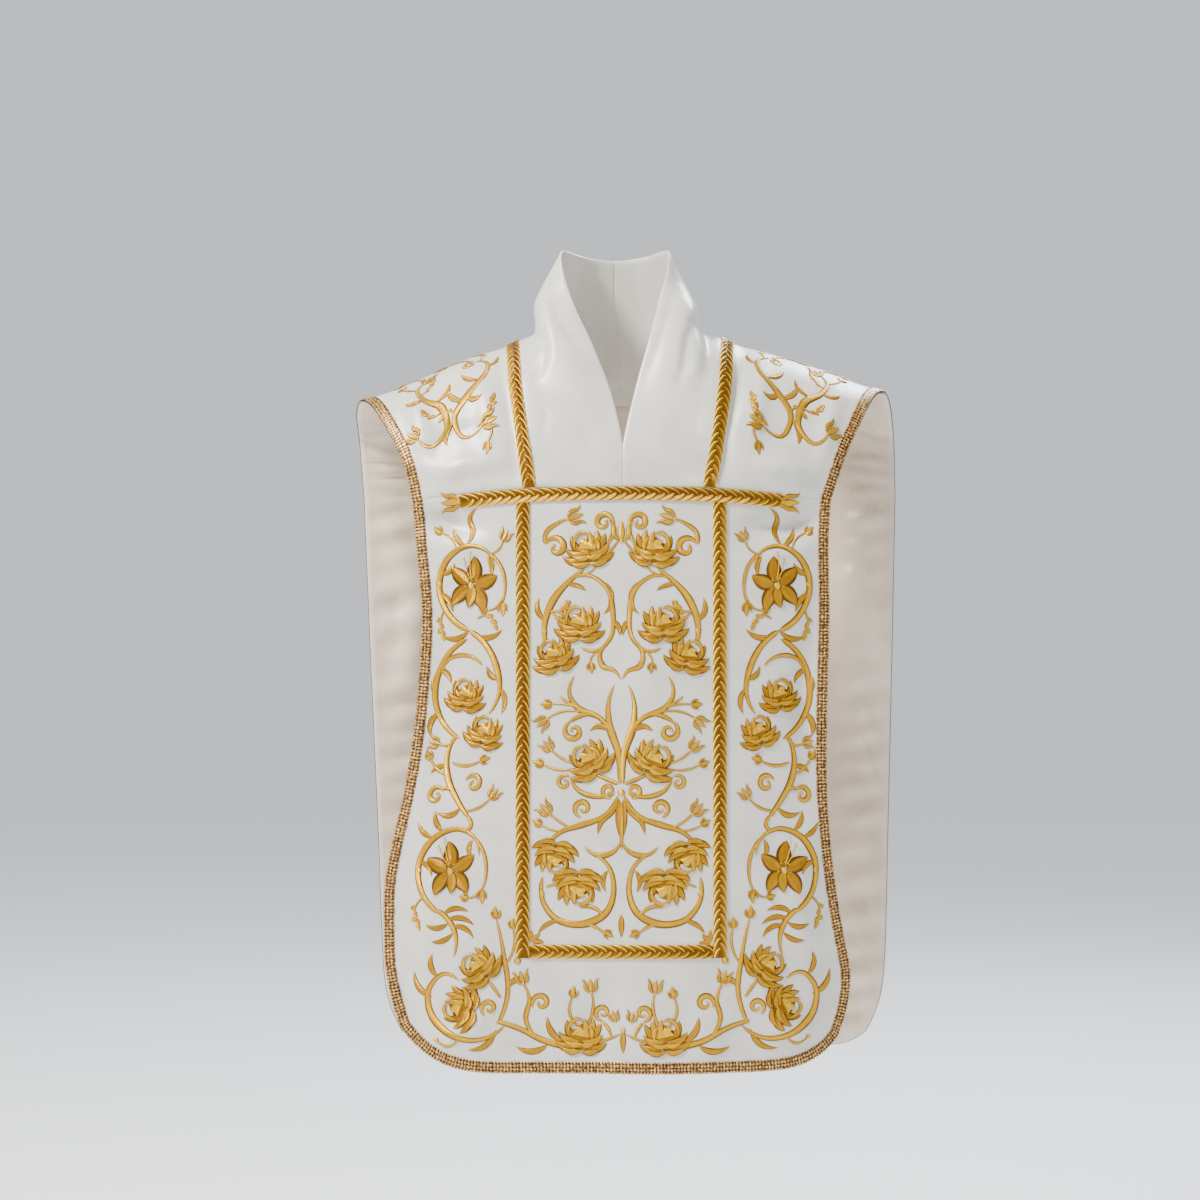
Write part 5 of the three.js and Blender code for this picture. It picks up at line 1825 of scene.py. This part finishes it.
# %% Shoulder embroidery
shoulder_work = gather(
    stem(
        [(168, -150), (192, -158), (204, -136), (188, -108), (168, -84), (166, -62), (182, -48)],
        0.7, 2.9, 0.9,
    ),
    stem(
        [(250, -146), (232, -160), (214, -146), (220, -116), (244, -92), (252, -70), (242, -50)],
        0.7, 2.9, 0.9,
    ),
    curl((188, -52), 9, 120, -1.1),
    curl((240, -50), 9, 60, 1.1),
    leaf([(192, -116), (208, -106), (214, -90)]),
    leaf([(176, -92), (190, -84), (198, -70)], 5.5),
    leaf([(228, -104), (216, -96), (212, -80)]),
    leaf([(168, -70), (156, -62), (154, -48)], 5),
    sprig([(176, -150), (164, -140), (158, -126)]),
    sprig([(202, -132), (212, -124), (218, -128)], 5),
    stem([(188, -42), (200, -26), (218, -20)], 0.7, 1.2),
    tulip((216, -21), -78, 0.95),
    stem([(246, -42), (256, -26), (272, -22)], 0.7, 1.2),
    bud((270, -22), -76, 1.1),
    stem([(252, -70), (264, -60), (270, -48)], 0.7, 1.0),
    bud((269, -49), -28),
    sprig([(252, -86), (240, -76), (234, -64)], 5.5),
    sprig([(176, -48), (172, -32), (178, -18)], 6),
    stem([(166, -146), (158, -158), (164, -170)]),
    bud((163, -168), 186, 0.95),
    sprig([(218, -120), (232, -124), (240, -118)], 6),
    tulip((170, -150), 72, 1.05),
    tulip((248, -147), -52, 1.05),
    leaf([(204, -138), (214, -150), (212, -164)], 6.5),
    leaf([(190, -110), (178, -118), (170, -114)]),
    tulip((243, -52), 20, 0.95),
    leaf([(244, -92), (258, -96), (266, -88)]),
)
print("one shoulder:", len(shoulder_work), "shapes")


# %% Shoulder embroidery, laid on both shoulders
RIDGE_MM = 215  # millimetres of cloth from the ridge to the chest seam


def on_shoulder(u, v):
    return u, v / RIDGE_MM


SHOULDER_MM = (124, 150)
shoulder_right = lay_embroidery("shoulder_embroidery_right", shoulder_work, on_shoulder, SHOULDER_MM)
shoulder_work = mirrored(shoulder_work)
shoulder_left = lay_embroidery("shoulder_embroidery_left", shoulder_work, on_shoulder, SHOULDER_MM)

# %% The ends of the braids
end_level = -207
braid_end_work = gather(
    tulip((193, end_level), -93, 1.15),
    bud((190, end_level), -93, 1.5, 0.6),
    tulip((-198, end_level), 93, 1.2),
    bud((-195, end_level), 93, 1.55, 0.6),
)
for hand in (-1, 1):
    for turn in (0, 45, 90):
        spray_at = (COLUMN_CENTRE + hand * 107, -734)
        braid_end_work += leaf(set_down([(0, 0), (-1, 7), (0, 15)], spray_at, hand * turn, 1.0), 5, 0.55)
    braid_end_work += knob((COLUMN_CENTRE + hand * 124, -756), 4.2, 0.6)
braid_ends = lay_embroidery("braid_end_embroidery", braid_end_work, on_hem, (470, 570))

# %% [markdown]
# ## Seams and stitches
# Where two cut pieces meet, a row of small stitches holds them, and along the galloon a finer row shows
# on its inner side. Each stitch is a short padded thread about 2.6 mm long, laid one behind the other
# every 4 mm. A dashed texture would vanish from the side, and these still cast a small shadow.


# %% A row of stitches
STITCH_HALF = np.array([0.12, 0.42, 0.42, 0.12])[:, None] * np.array([-1, 0, 1])
STITCH_RISE = np.array([0, 1, 1, 0])[:, None] * np.array([0.2, 1, 0.2])
STITCH_LIFT = 0.02


def stitch_row(name, points, normals, thread, pitch=4.0, length=2.6, proud=0.35):
    """Small threads along a line of points in millimetres."""
    reach = reach_along(points)
    starts = np.arange(pitch / 2, reach[-1] - pitch, pitch)
    along = starts[:, None] + np.array([0, 0.2, 0.8, 1.0]) * length
    middle = np.stack([np.interp(along, reach, points[:, axis]) for axis in range(3)], -1)
    normal = np.stack([np.interp(along, reach, normals[:, axis]) for axis in range(3)], -1)
    side = np.cross(normal, np.gradient(middle, axis=1))
    side /= np.linalg.norm(side, axis=2, keepdims=True)
    out = side[:, :, None] * STITCH_HALF[..., None]
    up = normal[:, :, None] * (STITCH_LIFT + proud * STITCH_RISE[..., None])
    grid = middle[:, :, None] + out + up
    faces = grid_faces(len(starts), 4, 3)
    piece = link_mesh(name, grid.reshape(-1, 3), faces[:, ::-1].tolist(), [thread])
    print(f"{name}: {len(starts)} stitches")
    return piece


def line_on_cloth(x, wrap):
    return cloth(x, wrap), cloth_normal(x, wrap)


# %% Stitched seams
EDGE_STITCH_IN = 14.4  # from the cut edge, beyond the galloon
CHEST_STITCH_UP = 3.2
NECK_STITCH_DOWN = 0.02
edge_rows = np.linspace(0, edge_length, 2600)
edge_stitch_line = edge_place(edge_rows, np.full(2600, EDGE_STITCH_IN))
edge_thread = stitch_row("edge_stitches", *line_on_cloth(*edge_stitch_line), ivory_thread)
seam_x = np.linspace(-240, 238, 500)
seam_wrap = wrap_on_front(seam_x, chest_seam(seam_x) + CHEST_STITCH_UP)
chest_thread = stitch_row("chest_seam_stitches", *line_on_cloth(seam_x, seam_wrap), ivory_thread)
neck_seam_x = np.linspace(-112, 112, 240)
neck_seam_wrap = np.full(240, NECK_SEAM_WRAP + NECK_STITCH_DOWN)
neck_thread = stitch_row("neck_seam_stitches", *line_on_cloth(neck_seam_x, neck_seam_wrap), ivory_thread)

# %% [markdown]
# ## What is cut from flat cloth
# A sheet keeps its area when it is sewn and worn; it only bends. Flat sizes come from the cloth's own
# lengths: along the middle line, and across the widest place. Each sheet is listed with what is sewn
# onto it, and its area is printed.


# %% Cut pieces
def flat_area(piece):
    """Square metres of one face of a shell."""
    mesh = piece.data
    area = np.zeros(len(mesh.polygons))
    mesh.polygons.foreach_get("area", area)
    return area.sum() / 2


front_trim = [column_embroidery, side_left, side_right, hem_embroidery, braid_ends, chest_thread]
front_trim += [braid for braid in braids if braid.name.startswith(("crossbar", "column", "front"))]
back_trim = [braid for braid in braids if braid.name.startswith(("shoulder", "back"))]
back_trim += [galloon, shoulder_left, shoulder_right, edge_thread, neck_thread]
FRONT_FLAT = (0.61, 0.72)
BACK_FLAT = (0.73, 1.17)
NECK_FLAT = (0.24, 0.43)
cut_pieces = [
    (front_cloth, FRONT_FLAT, "hung", ["back_cloth"], front_trim),
    (back_cloth, BACK_FLAT, "draped", ["wearer_shoulders"], back_trim),
    (lining_cloth, BACK_FLAT, "draped", ["back_cloth"], []),
    (neck_left_cloth, NECK_FLAT, "draped", ["wearer_neck"], []),
    (neck_right_cloth, NECK_FLAT, "draped", ["wearer_neck"], []),
]
for piece, flat, held, rests_on, trim in cut_pieces:
    area = flat_area(piece)
    print(f"{piece.name}: cut from {flat[0]:.2f} x {flat[1]:.2f} m, {area:.3f} square metres")
